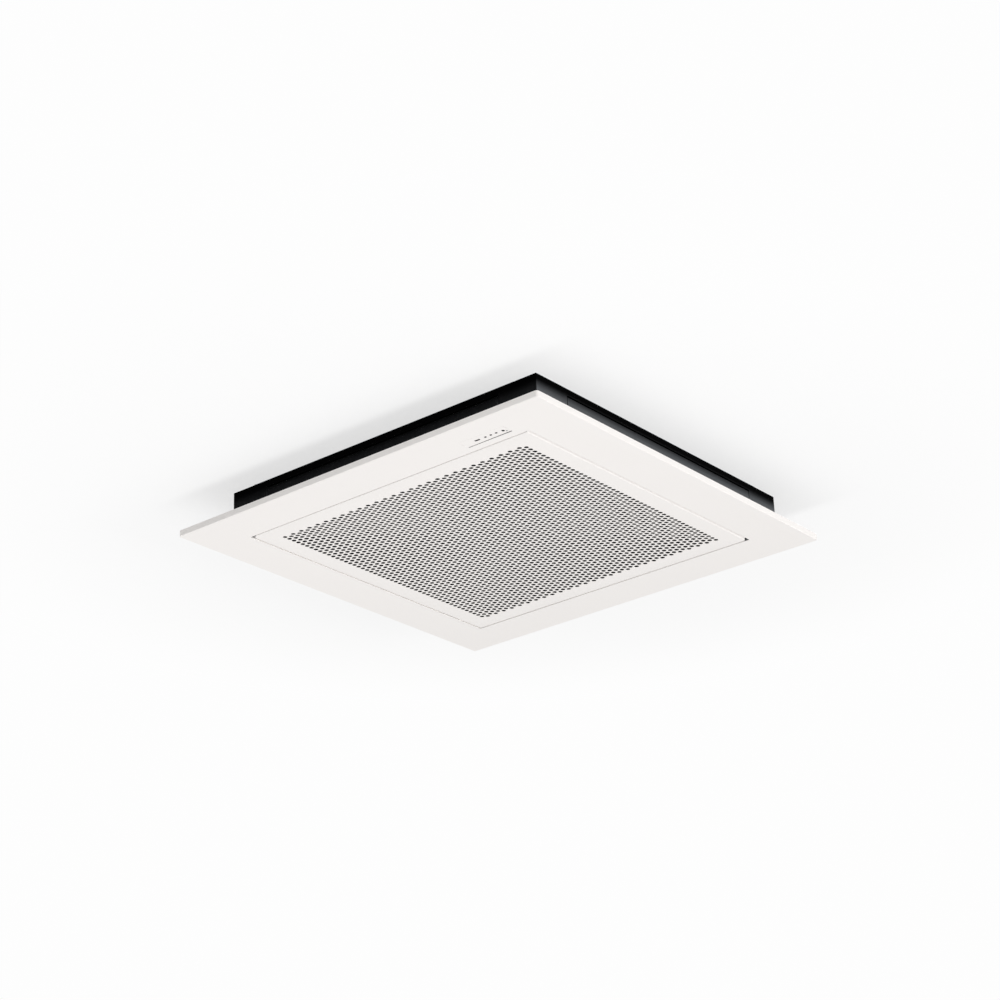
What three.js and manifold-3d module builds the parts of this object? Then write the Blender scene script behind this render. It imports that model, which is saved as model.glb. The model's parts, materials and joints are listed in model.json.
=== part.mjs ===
// A four-way ceiling cassette air conditioner, as an assembly of its separate pieces.
// Millimetres, +Z up. Heights are built up from the underside of the panel, and the whole unit is then
// lowered so that the origin is midway between the four hanger ears, on their undersides.
import * as THREE from 'three';
import { mergeVertices } from 'three/addons/utils/BufferGeometryUtils.js';
import Module from 'manifold-3d';

const wasm = await Module();
wasm.setup();

// ---- driving dimensions -------------------------------------------------------------------------

const GAP = 0.3;                 // between pieces that meet
const PANEL = 680;               // side of the white panel
const PANEL_SHIFT = [-4, 8];     // of the panel and grille from the middle of the casing
const PANEL_EDGE = 9.5;          // height of its turned-up edge
const PANEL_SKIN = 2.6;
const OPENING = 531;             // square opening that the grille closes
const JOINT = 1;                 // gap round the grille
const FIELD = 460;               // square of the perforated field
const DISH = 8.1;                // how far the middle of the field is dished upward
const GRILLE_SKIN = 1.2;
const ROLL_RADIUS = 3.2;         // rolled edges of the grille, front and back
const GRILLE_UPSTAND = 8;
const CORNER_RELIEF = 5;         // cut off two opposite corners of the grille
const BAND = 578;                // side of the black band
const BAND_TOP = 70;             // where the ceiling's underside meets it
const BAND_WALL = 3;
const FUNNEL = 500;              // clear width inside the band, above the grille
const THROAT = 434;              // clear width at the top of the funnel
const LOUVRE_LENGTH = 440;
const LOUVRE_HEIGHT = 37.6;
const LOUVRE_AXIS = 39;          // height of the blades' axis
const LOUVRE_AXIS_IN = 6.5;      // how far the axis lies behind the band's face
const PIN_RADIUS = 2.5;
const CASING = 570;
const CASING_BASE = BAND_TOP + 1;
const CASING_HEIGHT = 245;
const CASING_TOP = CASING_BASE + CASING_HEIGHT;
const CHAMFER = 40;              // of the casing's corners
const SHEET = 1.2;
const FOAM = 14;
const HANGER_HEIGHT = 235;       // undersides of the ears above the panel's face
const MOUTH_PLATE = 2.5;
const PAN_BASE = BAND_TOP + MOUTH_PLATE + 2 * GAP;
const PAN_HEIGHT = 34;
const PAN = 464;
const COIL = 450;
const COIL_DEPTH = 40;
const GUTTER_FLOOR = 18;          // above the underside of the drain pan
const COIL_BASE = PAN_BASE + GUTTER_FLOOR + GAP;
const COIL_TOP = 300;
const COIL_END = 130;            // where the coil's two ends stop, from the middle
const FAN_RADIUS = 152;
const INLET_RADIUS = 105;        // throat of the bell mouth
const FAN_TOP = 288;
const FAN_BASE = 138;
const MOTOR_RADIUS = 60;
const MOTOR_TOP = 300;
const THIRDS = [0, 120, 240];     // feet of the motor, in degrees
const BLADES = 7;
const DISPLAY = { x: -290, y: -209, length: 77, width: 21 };

const half = (size) => size / 2;
const SIDES = [['front', 0], ['right', 90], ['back', 180], ['left', 270]];

// ---- finishes -----------------------------------------------------------------------------------

function finish(color, roughness, metalness = 0) {
  return new THREE.MeshStandardMaterial({ color, roughness, metalness });
}

const WHITE = finish(0xf2f0ed, 0.45);
const WHITE_PAINT = finish(0xf2f0ed, 0.4, 0.1);
const BLACK = finish(0x121214, 0.35);
const DARK = finish(0x2c2d30, 0.6);
const FOAM_WHITE = finish(0xe6e6e2, 0.9);
const GALVANISED = finish(0xb4b9bd, 0.42, 0.85);
const STEEL = finish(0x9a9da0, 0.3, 0.9);
const COPPER = finish(0xb66f47, 0.32, 0.95);
const BRASS = finish(0xb99a50, 0.3, 0.95);
const FINS = finish(0xc3c8cc, 0.35, 0.9);
const GREEN_BOARD = finish(0x1f5a3a, 0.5);
const CLEAR_SMOKE = finish(0x17181a, 0.15);
const GREY_PLASTIC = finish(0x8b8f93, 0.55);

// ---- shapes -------------------------------------------------------------------------------------

function solid(geometry) {
  // A closed solid from a geometry: shared corners merged, slivers on the axis dropped, faces outward.
  const bare = geometry.clone();
  bare.deleteAttribute('normal');
  bare.deleteAttribute('uv');
  const merged = mergeVertices(bare, 1e-3);
  const corners = merged.index.array;
  const triangles = [];
  for (let i = 0; i < corners.length; i += 3) {
    const [a, b, c] = [corners[i], corners[i + 1], corners[i + 2]];
    if (a !== b && b !== c && c !== a) triangles.push(a, b, c);
  }
  const mesh = (order) => new wasm.Mesh({
    numProp: 3,
    vertProperties: new Float32Array(merged.attributes.position.array),
    triVerts: new Uint32Array(order),
  });
  const body = new wasm.Manifold(mesh(triangles));
  if (body.volume() > 0) return body;
  return new wasm.Manifold(mesh(triangles.reverse()));
}

function box(x, y, z) {
  // x, y and z are each [low, high].
  const geometry = new THREE.BoxGeometry(x[1] - x[0], y[1] - y[0], z[1] - z[0]);
  geometry.translate((x[0] + x[1]) / 2, (y[0] + y[1]) / 2, (z[0] + z[1]) / 2);
  return solid(geometry);
}

function rod(radius, low, high, axis = 'z', segments = 16) {
  const geometry = new THREE.CylinderGeometry(radius, radius, high - low, segments);
  geometry.translate(0, (low + high) / 2, 0);
  if (axis === 'z') geometry.rotateX(Math.PI / 2);
  if (axis === 'x') geometry.rotateZ(-Math.PI / 2);
  return solid(geometry);
}

function spin(profile, segments, corner = 0) {
  // profile is a list of [radius, height], closed on itself or starting and ending on the axis.
  const stretch = corner ? 1 / Math.cos(Math.PI / segments) : 1;
  const points = profile.map(([radius, height]) => new THREE.Vector2(radius * stretch, height));
  const geometry = new THREE.LatheGeometry(points, segments, corner);
  geometry.rotateX(Math.PI / 2);
  return solid(geometry);
}

const closed = (profile) => [...profile, profile[0]];
const roundRing = (profile, segments = 40) => spin(closed(profile), segments);
const squareRing = (profile) => spin(closed(profile), 4, Math.PI / 4);
const squareDish = (profile) => spin(profile, 4, Math.PI / 4);

function slab(outline, low, high, holes = []) {
  // A flat outline, [x, y] corners or a Shape, raised from one height to another.
  const toShape = (points) => new THREE.Shape(points.map(([x, y]) => new THREE.Vector2(x, y)));
  const shape = outline instanceof THREE.Shape ? outline : toShape(outline);
  shape.holes = holes.map((hole) => (hole instanceof THREE.Path ? hole : toShape(hole)));
  const depth = high - low;
  const geometry = new THREE.ExtrudeGeometry(shape, { depth, bevelEnabled: false, curveSegments: 6 });
  geometry.translate(0, 0, low);
  return solid(geometry);
}

function roundedSquare(side, radius) {
  const edge = half(side);
  const inner = edge - radius;
  const shape = new THREE.Shape();
  shape.absarc(inner, inner, radius, 0, Math.PI / 2);
  shape.absarc(-inner, inner, radius, Math.PI / 2, Math.PI);
  shape.absarc(-inner, -inner, radius, Math.PI, 1.5 * Math.PI);
  shape.absarc(inner, -inner, radius, 1.5 * Math.PI, 2 * Math.PI);
  return shape;
}

const chamferedSquare = (side, cut) => {
  const edge = half(side);
  const start = edge - cut;
  return [
    [edge, -start], [edge, start], [start, edge], [-start, edge],
    [-edge, start], [-edge, -start], [-start, -edge], [start, -edge],
  ];
};

function tube(points, radius, segments = 8) {
  // A pipe through the given points, with an elbow of about two diameters at each corner.
  const path = new THREE.CurvePath();
  const corners = points.map((point) => new THREE.Vector3(...point));
  let start = corners[0];
  for (let i = 1; i < corners.length - 1; i += 1) {
    const before = new THREE.Vector3().subVectors(corners[i - 1], corners[i]).setLength(radius * 4);
    const after = new THREE.Vector3().subVectors(corners[i + 1], corners[i]).setLength(radius * 4);
    const elbowStart = corners[i].clone().add(before);
    const elbowEnd = corners[i].clone().add(after);
    path.add(new THREE.LineCurve3(start, elbowStart));
    path.add(new THREE.QuadraticBezierCurve3(elbowStart, corners[i], elbowEnd));
    start = elbowEnd;
  }
  path.add(new THREE.LineCurve3(start, corners[corners.length - 1]));
  const section = new THREE.Shape();
  section.absarc(0, 0, radius, 0, 2 * Math.PI);
  return solid(new THREE.ExtrudeGeometry(section, {
    steps: 6 * (corners.length - 1), extrudePath: path, curveSegments: segments / 2,
  }));
}

function hexNut(radius, bore, low, high) {
  return cut(rod(radius, low, high, 'z', 6), rod(bore, low - 1, high + 10, 'z', 20));
}

const unite = (first, ...others) => others.reduce((sum, other) => sum.add(other), first);
const cut = (first, ...others) => others.reduce((rest, other) => rest.subtract(other), first);
const turned = (body, degrees) => body.rotate([0, 0, degrees]);
const mirrorPair = (offset) => [-offset, offset];

// ---- the scene graph ----------------------------------------------------------------------------

const unit = new THREE.Group();
unit.position.z = -HANGER_HEIGHT;
const panel = new THREE.Group();
panel.position.set(...PANEL_SHIFT, 0);
unit.add(panel);

function add(name, body, material, { x = 0, y = 0, z = 0, turn = 0, group = unit } = {}) {
  const mesh = body.getMesh();
  const geometry = new THREE.BufferGeometry();
  geometry.setAttribute('position', new THREE.BufferAttribute(new Float32Array(mesh.vertProperties), 3));
  geometry.setIndex(new THREE.BufferAttribute(new Uint32Array(mesh.triVerts), 1));
  geometry.computeVertexNormals();
  const piece = new THREE.Mesh(geometry, material);
  piece.name = name;
  piece.position.set(x, y, z);
  piece.rotation.z = THREE.MathUtils.degToRad(turn);
  group.add(piece);
}

// ---- panel and intake grille --------------------------------------------------------------------

const HINGE_Y = half(OPENING) - JOINT - ROLL_RADIUS;
const HINGE_Z = ROLL_RADIUS;
const FILTER_BASE = 12;
const FILTER = 478;
const FILTER_RIM = 10;           // width of the filter's frame
const HINGE_PIN_RADIUS = 1.5;
const INSERT_TOP = 3.9;          // back of the display insert's flange
const INSERT_LIP = 2.5;          // how far that flange reaches behind the panel
const SEAL_WIDTHS = [1.4, 0.4];  // front and back end of the dark strip along the insert's inner side
const BOARD_BASE = 6.4;
const BOARD_POST = 44;           // from the middle of the display to each post of its board
const RIB_PLACES = [-225, -135, -45, 45, 135, 225];

function fasciaFrame() {
  const edge = half(PANEL);
  const opening = half(OPENING);
  const tray = squareRing([
    [opening, 0], [edge - 0.8, 0], [edge, 0.8], [edge, PANEL_EDGE], [edge - 3, PANEL_EDGE],
    [edge - 3, PANEL_SKIN], [opening + 3, PANEL_SKIN], [opening + 3, PANEL_EDGE], [opening, PANEL_EDGE],
  ]);
  const sharp = slab(roundedSquare(PANEL, 4), -1, PANEL_EDGE + 1);
  const ribs = [];
  for (const along of RIB_PLACES) {
    const across = [-edge + 2.5, -opening - 2.5];
    const rib = box([along - 1, along + 1], across, [PANEL_SKIN - 0.5, PANEL_EDGE - 2]);
    for (const [, turn] of SIDES) ribs.push(turned(rib, turn));
  }
  const bore = HINGE_PIN_RADIUS + GAP;
  const pinHole = rod(bore, -opening - 8, opening + 8, 'x').translate([0, HINGE_Y, HINGE_Z]);
  const { x, y, length, width } = DISPLAY;
  const clearing = box(
    [x - half(width) - 4, x + half(width) + 4], [y - half(length) - 9, y + half(length) + 9],
    [PANEL_SKIN, PANEL_EDGE + 1],
  );
  const pocket = box(
    [x - half(width) - GAP, x + half(width) + GAP], [y - half(length) - GAP, y + half(length) + GAP],
    [-1, PANEL_SKIN + 1],
  );
  const posts = mirrorPair(BOARD_POST).map((along) => (
    rod(2.2, PANEL_SKIN - 0.5, BOARD_BASE - GAP, 'z', 12).translate([x, y + along, 0])
  ));
  return unite(cut(unite(tray.intersect(sharp), ...ribs), clearing, pocket, pinHole), ...posts);
}

function intakeGrille() {
  const edge = half(OPENING) - JOINT;
  const field = half(FIELD);
  const steps = 8;
  const rise = (radius) => DISH * (1 - (radius / field) ** 2);
  const under = [];
  for (let i = 0; i <= steps; i += 1) under.push([field * i / steps, rise(field * i / steps)]);
  const over = under.map(([radius, height]) => [radius, height + GRILLE_SKIN]).reverse();
  const sheet = squareDish([
    ...under, [edge - 0.6, 0], [edge, 0.6], [edge, GRILLE_UPSTAND], [edge - GRILLE_SKIN, GRILLE_UPSTAND],
    [edge - GRILLE_SKIN, GRILLE_SKIN], ...over,
  ]);
  const pieces = [];
  const trims = [];
  for (const side of [-1, 1]) {
    const low = Math.min(side * HINGE_Y, side * (edge + 1));
    trims.push(box([-edge - 1, edge + 1], [low, low + ROLL_RADIUS + 1], [-1, GRILLE_UPSTAND + 1]));
    pieces.push(rod(ROLL_RADIUS, -edge, edge, 'x', 20).translate([0, side * HINGE_Y, ROLL_RADIUS]));
    for (const along of [-150, 150]) {
      const rest = side * (half(FILTER) - 4);
      const stop = side * (half(FILTER) + 2);
      const foot = side * (half(FILTER) + 1);
      const width = [along - 10, along + 10];
      pieces.push(box([rest - 4, rest + 4], width, [GRILLE_SKIN - 0.4, FILTER_BASE - GAP]));
      pieces.push(box([stop - 1.2, stop + 1.2], width, [GRILLE_SKIN - 0.4, FILTER_BASE + 3]));
      pieces.push(box([foot - 6, foot + 6], width, [GRILLE_SKIN - 0.4, 3]));
    }
  }
  const bores = [];
  for (const side of [-1, 1]) {
    const low = side > 0 ? edge - 14 : -edge - 1;
    bores.push(rod(HINGE_PIN_RADIUS + GAP, low, low + 15, 'x').translate([0, HINGE_Y, HINGE_Z]));
  }
  const relief = slab([[0, 0], [CORNER_RELIEF, 0], [0, CORNER_RELIEF]], -1, GRILLE_UPSTAND + 1);
  const leftBack = relief.rotate([0, 0, -90]).translate([-edge - 0.1, edge + 0.1, 0]);
  const rightFront = relief.rotate([0, 0, 90]).translate([edge + 0.1, -edge - 0.1, 0]);
  return cut(unite(cut(sheet, ...trims), ...pieces), ...bores, leftBack, rightFront);
}

function hingePin(side) {
  const inner = side * (half(OPENING) - JOINT - 12);
  const outer = side * (half(OPENING) + 7);
  const pin = rod(HINGE_PIN_RADIUS, Math.min(inner, outer), Math.max(inner, outer), 'x', 12);
  const headStart = side * (half(OPENING) + 3 + GAP);
  const head = rod(2.6, Math.min(headStart, outer), Math.max(headStart, outer), 'x', 12);
  const floor = box([-PANEL, PANEL], [-5, 5], [-5, PANEL_SKIN + GAP - HINGE_Z]);
  return unite(pin, cut(head, floor));
}

function filterFrame() {
  const edge = half(FILTER);
  const inner = edge - FILTER_RIM;
  const rim = squareRing([[inner, 0], [edge, 0], [edge, 5], [inner, 5]]);
  const bars = [];
  for (const along of [-78, 78]) {
    const across = [along - 2, along + 2];
    const length = [-inner - 1, inner + 1];
    bars.push(box(across, length, [2.6, 5]), box(length, across, [2.6, 5]));
  }
  const tab = box([-18, 18], [-inner - 1, -inner + 12], [2.6, 5]);
  return unite(rim, ...bars, tab);
}

function addPanel() {
  const group = panel;
  add('fascia_frame', fasciaFrame(), WHITE, { group });
  add('intake_grille', intakeGrille(), WHITE_PAINT, { group });
  for (const [name, side] of [['left', -1], ['right', 1]]) {
    add(`hinge_pin_${name}`, hingePin(side), STEEL, { y: HINGE_Y, z: HINGE_Z, group });
    const flange = half(OPENING) - GAP;
    const magnet = box([-16, 16], [-flange, -flange + 10], [2 * ROLL_RADIUS + GAP, PANEL_EDGE]);
    add(`catch_magnet_${name}`, magnet, DARK, { x: side * 180, group });
  }
  add('filter_frame', filterFrame(), DARK, { z: FILTER_BASE, group });
  const mesh = half(FILTER) - FILTER_RIM - GAP;
  const net = box([-mesh, mesh], [-mesh, mesh], [1.2, 2.3]);
  add('filter_mesh', net, DARK, { z: FILTER_BASE, group });
}

// ---- display ------------------------------------------------------------------------------------

const LIGHTS = [[14.7, 4.3], [0.3, 1.6], [-9.3, 1.6], [-18.7, 1.6]];   // place and half length of each
const LIGHT_WIDTH = 2.8;
const RECEIVER = { x: 1.1, y: -30.3, radius: 2.2 };
const BUTTON = { x: 4.7, y: -34, radius: 1.2 };
const BOARD_CHIPS = [                // [x], [y] and top of each
  [[-7, 7], [4, 14], 9.4], [[-6, 6], [-22, -10], 9], [[-4, 4], [24, 34], 9.2],
];

function addDisplay() {
  // An insert that fills its pocket flush, hooked behind the panel, with the parts that show through it.
  const { x, y, length, width } = DISPLAY;
  const at = { x, y, group: panel };
  const side = half(width);
  const end = half(length);
  const [wide, narrow] = SEAL_WIDTHS;
  const plug = slab([
    [-side, -end], [side - wide - GAP, -end], [side - narrow - GAP, end], [-side, end],
  ], 0, INSERT_TOP);
  const seal = slab([[side - wide, -end], [side, -end], [side, end], [side - narrow, end]], 0, PANEL_SKIN);
  const lip = INSERT_LIP;
  const flange = box(
    [-side - lip, side + lip], [-end - lip, end + lip], [PANEL_SKIN + GAP, INSERT_TOP],
  );
  const behind = [INSERT_TOP + GAP, INSERT_TOP + 1.1];
  const buttons = [];
  const holes = [];
  for (const place of [RECEIVER, BUTTON]) {
    const { radius } = place;
    holes.push(rod(radius + GAP, -1, INSERT_TOP + 1, 'z', 16).translate([place.x, place.y, 0]));
    buttons.push(unite(rod(radius, 0, behind[1], 'z', 16), rod(radius + 0.65, ...behind, 'z', 16)));
  }
  const pips = [];
  const across = half(LIGHT_WIDTH);
  for (const [along, reach] of LIGHTS) {
    const hole = box(
      [-across - GAP, across + GAP], [along - reach - GAP, along + reach + GAP], [-1, INSERT_TOP + 1],
    );
    holes.push(hole);
    pips.push(box([-across, across], [along - reach, along + reach], [0, behind[1]]));
  }
  add('display_window', cut(unite(plug, flange), ...holes), WHITE, at);
  add('display_seal', seal, DARK, at);
  add('light_guide', unite(box([-3.5, 3.5], [-22, 21], behind), ...pips), CLEAR_SMOKE, at);
  const [lens, button] = buttons;
  add('receiver_lens', lens, CLEAR_SMOKE, { x: x + RECEIVER.x, y: y + RECEIVER.y, group: panel });
  add('manual_button', button, GREY_PLASTIC, { x: x + BUTTON.x, y: y + BUTTON.y, group: panel });
  const boardEnd = BOARD_POST + 3;
  const board = box([-9, 9], [-boardEnd, boardEnd], [BOARD_BASE, BOARD_BASE + 1.4]);
  const chips = BOARD_CHIPS.map(([chipX, chipY, top]) => box(chipX, chipY, [BOARD_BASE + 1.3, top]));
  add('display_board', unite(board, ...chips), GREEN_BOARD, at);
}

// ---- air outlet band and louvres ----------------------------------------------------------------

const BAND_BASE = PANEL_EDGE + GAP;
const AXIS_OUT = half(BAND) - LOUVRE_AXIS_IN;
const WINDOW = LOUVRE_LENGTH + 2.4;
const RIB = 3;                   // thickness of the ribs that carry the blades
const RIB_PLACE = half(WINDOW) + 2;

function outletFrame() {
  const out = half(BAND);
  const funnel = half(FUNNEL);
  const throat = half(THROAT);
  const trough = squareRing([
    [funnel, BAND_BASE], [out, BAND_BASE], [out, BAND_TOP], [out - 17, BAND_TOP], [out - 17, BAND_TOP - 2],
    [out - BAND_WALL, BAND_TOP - 2], [out - BAND_WALL, BAND_BASE + 2], [funnel + 2, BAND_BASE + 2],
    [funnel + 2, 37], [throat + 2, BAND_TOP - 2], [throat + 2, BAND_TOP], [throat - 6, BAND_TOP],
    [throat - 6, BAND_TOP - 2], [throat, BAND_TOP - 2], [funnel, 36],
  ]);
  const ribs = [];
  const cuts = [];
  const window = half(WINDOW);
  const reach = half(LOUVRE_HEIGHT) + 1.8;
  for (const [, turn] of SIDES) {
    for (const side of [-1, 1]) {
      const ribOutline = [
        [-out + 1, BAND_BASE + 1], [-funnel - 1, BAND_BASE + 1], [-funnel - 1, 36.5],
        [-throat - 1, BAND_TOP - 1], [-out + 1, BAND_TOP - 1],
      ];
      const rib = slab(ribOutline, -half(RIB), half(RIB)).rotate([90, 0, 90]);
      ribs.push(turned(rib.translate([side * RIB_PLACE, 0, 0]), turn));
    }
    cuts.push(turned(box([-window, window], [-out - 1, -out + BAND_WALL + 0.5],
      [LOUVRE_AXIS - reach, LOUVRE_AXIS + reach]), turn));
    cuts.push(turned(rod(PIN_RADIUS + 0.4, -window - 6, window + 6, 'x')
      .translate([0, -AXIS_OUT, LOUVRE_AXIS]), turn));
  }
  return cut(unite(trough, ...ribs), ...cuts);
}

function louvre() {
  // Built on its own axis: length along X, the band's face towards -Y.
  const top = half(LOUVRE_HEIGHT);
  const face = -LOUVRE_AXIS_IN;
  const section = [
    [face + 0.9, -top], [face, -top + 1.4], [face, top - 1.4], [face + 0.9, top], [face + 2.2, top],
    [face + 3.2, 0], [face + 2.2, -top],
  ];
  const blade = slab(section, -half(LOUVRE_LENGTH), half(LOUVRE_LENGTH)).rotate([90, 0, 90]);
  const pieces = [];
  for (const side of [-1, 1]) {
    const end = side * half(LOUVRE_LENGTH);
    const inner = side * (half(LOUVRE_LENGTH) - 4);
    pieces.push(box([Math.min(end, inner), Math.max(end, inner)], [face + 2, PIN_RADIUS], [-5, 5]));
    const tip = side * (RIB_PLACE + half(RIB));
    pieces.push(rod(PIN_RADIUS, Math.min(inner, tip), Math.max(inner, tip), 'x'));
  }
  return unite(blade, ...pieces);
}

function louvreMotor() {
  // The can, set back from the shaft that turns the blade, and its two ears on the rib.
  const can = rod(11, 0, 16, 'x', 18);
  const ears = box([0, 2], [-4, 4], [-18, 18]);
  return unite(can, ears).translate([0, 8, 0]);
}

function addOutlets() {
  add('outlet_frame', outletFrame(), BLACK);
  for (const [name, turn] of SIDES) {
    const side = new THREE.Group();
    side.rotation.z = THREE.MathUtils.degToRad(turn);
    unit.add(side);
    add(`louvre_${name}`, louvre(), BLACK, { y: -AXIS_OUT, z: LOUVRE_AXIS, group: side });
    add(`louvre_motor_${name}`, louvreMotor(), DARK, {
      x: RIB_PLACE + half(RIB) + GAP, y: -AXIS_OUT, z: LOUVRE_AXIS, group: side,
    });
  }
}

// ---- fan ----------------------------------------------------------------------------------------

function bellMouth() {
  const plate = slab([[-219, -219], [219, -219], [219, 219], [-219, 219]], 0, MOUTH_PLATE, [circle(140)]);
  const outer = [];
  const inner = [];
  for (let i = 0; i <= 4; i += 1) {
    const angle = half(Math.PI) * i / 4;
    const radius = INLET_RADIUS + 42 * (1 - Math.sin(angle));
    const height = 52 * (1 - Math.cos(angle));
    inner.push([radius, height]);
    outer.push([radius + 2, height + 0.01]);
  }
  const lip = [...inner, [INLET_RADIUS, 64], [INLET_RADIUS + 2, 64], ...outer.reverse()];
  return unite(plate, roundRing(lip, 32));
}

function circle(radius, segments = 28) {
  const path = new THREE.Path();
  for (let i = 0; i < segments; i += 1) {
    const angle = -2 * Math.PI * i / segments;
    const point = [radius * Math.cos(angle), radius * Math.sin(angle)];
    if (i === 0) path.moveTo(...point);
    else path.lineTo(...point);
  }
  path.closePath();
  return path;
}

function turboFan() {
  const rim = FAN_RADIUS;
  const hub = roundRing([
    [5.6, 203], [66, 203], [72, 208], [78, 262], [92, FAN_TOP - 3], [rim, FAN_TOP - 3], [rim, FAN_TOP],
    [90, FAN_TOP], [75, 264], [69, 210], [64, 206], [5.6, 206],
  ], 28);
  const collar = roundRing([[5.6, 196], [14, 196], [14, 204], [5.6, 204]], 14);
  const shroud = roundRing([
    [112, FAN_BASE], [114.4, FAN_BASE], [116, 150], [125, 162], [rim, 171.5], [rim, 174],
    [124, 164.6], [113.6, 151],
  ], 28);
  const room = roundRing([
    [84, FAN_TOP - 1], [84, 200], [114, 152], [124.5, 163.4], [rim - 0.5, 172.8], [rim - 0.5, FAN_TOP - 1],
  ], 28);
  const blades = [];
  for (let i = 0; i < BLADES; i += 1) {
    const outline = [];
    for (let j = 0; j <= 3; j += 1) outline.push(bladePoint(j / 3, 1.3));
    for (let j = 3; j >= 0; j -= 1) outline.push(bladePoint(j / 3, -1.3));
    blades.push(turned(slab(outline, 140, FAN_TOP).intersect(room), 360 * i / BLADES));
  }
  return unite(hub, collar, shroud, ...blades);
}

function bladePoint(share, offset) {
  // Along a blade that leans back from the hub to the rim.
  const radius = 92 + (FAN_RADIUS + 2 - 92) * share;
  const angle = -0.85 * share ** 0.8 + offset / radius;
  return [radius * Math.cos(angle), radius * Math.sin(angle)];
}

function addFan() {
  add('bell_mouth', bellMouth(), GREY_PLASTIC, { z: BAND_TOP + GAP });
  add('turbo_fan', turboFan(), DARK);
  add('motor_shaft', unite(rod(5, 186, 216, 'z', 16), rod(20, 206.3, 209, 'z', 20)), STEEL);
  add('hub_nut', hexNut(10, 5.4, 188, 195.6), STEEL);
  const motor = spin([
    [0, 216.4], [52, 216.4], [MOTOR_RADIUS, 224], [MOTOR_RADIUS, 262], [54, 268], [54, MOTOR_TOP],
    [0, MOTOR_TOP],
  ], 24);
  const foot = box([50, 74], [-8, 8], [MOTOR_TOP - 4, MOTOR_TOP]);
  const feet = THIRDS.map((turn) => turned(foot, turn));
  add('fan_motor', unite(motor, ...feet), DARK);
  const mount = cut(rod(84, 0, 4, 'z', 28), rod(30, -1, 5, 'z', 16));
  const post = rod(7, 3, CASING_TOP - SHEET - 2 * GAP - MOTOR_TOP, 'z', 10).translate([66, 0, 0]);
  const posts = THIRDS.map((turn) => turned(post, turn));
  add('motor_mount', unite(mount, ...posts), GALVANISED, { z: MOTOR_TOP + GAP });
}

// ---- heat exchanger and pipes -------------------------------------------------------------------

const GAS = { x: 212, y: 150, exit: 205, radius: 6.35, nut: 12 };
const LIQUID = { x: 190, y: 150, exit: 248, radius: 3.2, nut: 8.5 };
const PIPE_END = 322;

function coil() {
  const ring = slab(roundedSquare(COIL, 60), COIL_BASE, COIL_TOP, [
    new THREE.Path(roundedSquare(COIL - 2 * COIL_DEPTH, 20).getPoints(4).reverse()),
  ]);
  return cut(ring, box([COIL_END, COIL], [COIL_END, COIL], [COIL_BASE - 1, COIL_TOP + 1]));
}

function coilEndPlate() {
  // Closes the coil's end, with the return bends of the tubes on it.
  const inner = half(COIL) - COIL_DEPTH;
  const plate = box([inner - 4, half(COIL) + 4], [0, 1.5], [COIL_BASE, COIL_TOP]);
  const bends = [];
  for (let height = COIL_BASE + 24; height < COIL_TOP - 20; height += 42) {
    const bend = rod(9, inner + 4, inner + 11, 'x', 12).translate([0, 1.4, height]);
    bends.push(bend.intersect(box([0, COIL], [1, 12], [0, COIL_TOP])));
  }
  return unite(plate, ...bends);
}

function addHeatExchanger() {
  add('coil', coil(), FINS);
  add('coil_end_plate_right', coilEndPlate(), GALVANISED, { y: COIL_END + GAP });
  const other = coilEndPlate().mirror([1, -1, 0]);
  add('coil_end_plate_back', other, GALVANISED, { x: COIL_END + GAP });
  for (const [name, pipe] of [['gas', GAS], ['liquid', LIQUID]]) {
    const { x, y, exit } = pipe;
    const route = [[x, y, COIL_BASE + 16], [x, y, exit], [PIPE_END, y, exit]];
    add(`${name}_pipe`, tube(route, pipe.radius), COPPER);
    const bore = pipe.radius + GAP + 0.1;
    const neck = rod(pipe.nut * 0.8, -26, -17, 'z', 20);
    const nut = unite(hexNut(pipe.nut, bore, -18, 0), cut(neck, rod(bore, -30, 5, 'z', 20)));
    add(`${name}_flare_nut`, nut.rotate([0, 90, 0]), BRASS, { x: PIPE_END + 2, y, z: exit });
  }
  const holes = [GAS, LIQUID].map(({ y, exit, radius }) => (
    rod(radius + 1, -5, 5, 'x').translate([0, y, exit])
  ));
  const plate = box([0, SHEET], [104, 196], [184, 271]);
  add('pipe_plate', cut(plate, ...holes), GALVANISED, { x: half(CASING) + GAP });
}

// ---- condensate drain ---------------------------------------------------------------------------

const PUMP = { x: 218, y: 218, radius: 21 };
const DRAIN_EXIT = 254;
const FLOAT = { x: 165, y: 200 };
const GUTTER = 53;               // width of the gutter under the coil
const PAN_RIM = 3;

function drainPan() {
  // A foam square under the coil, with a gutter, the round mouth of the fan, and arms to the corners.
  const square = box([-half(PAN), half(PAN)], [-half(PAN), half(PAN)], [0, PAN_HEIGHT]);
  const reach = half(CASING) - FOAM - 4;
  const start = 192;
  const arm = slab([
    [start, start], [reach, start], [reach, reach - CHAMFER], [reach - CHAMFER, reach], [start, reach],
  ], 0, PAN_HEIGHT);
  const mouth = rod(150, -1, PAN_HEIGHT + 1, 'z', 28);
  const edge = half(PAN);
  const above = PAN_HEIGHT + 1;
  const [inner, outer] = [edge - PAN_RIM - GUTTER, edge - PAN_RIM];
  const gutter = squareRing([
    [inner, GUTTER_FLOOR], [outer, GUTTER_FLOOR], [outer, above], [inner, above],
  ]);
  const sump = box([PUMP.x - 24, PUMP.x + 24], [PUMP.y - 24, PUMP.y + 24], [12, above]);
  const rim = box([-170, 170], [-edge, -edge + PAN_RIM], [0, PAN_HEIGHT]);
  const arms = SIDES.map(([, turn]) => turned(arm, turn));
  const rims = SIDES.map(([, turn]) => turned(rim, turn));
  return unite(cut(unite(square, ...arms), mouth, gutter, sump), ...rims);
}

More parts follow.
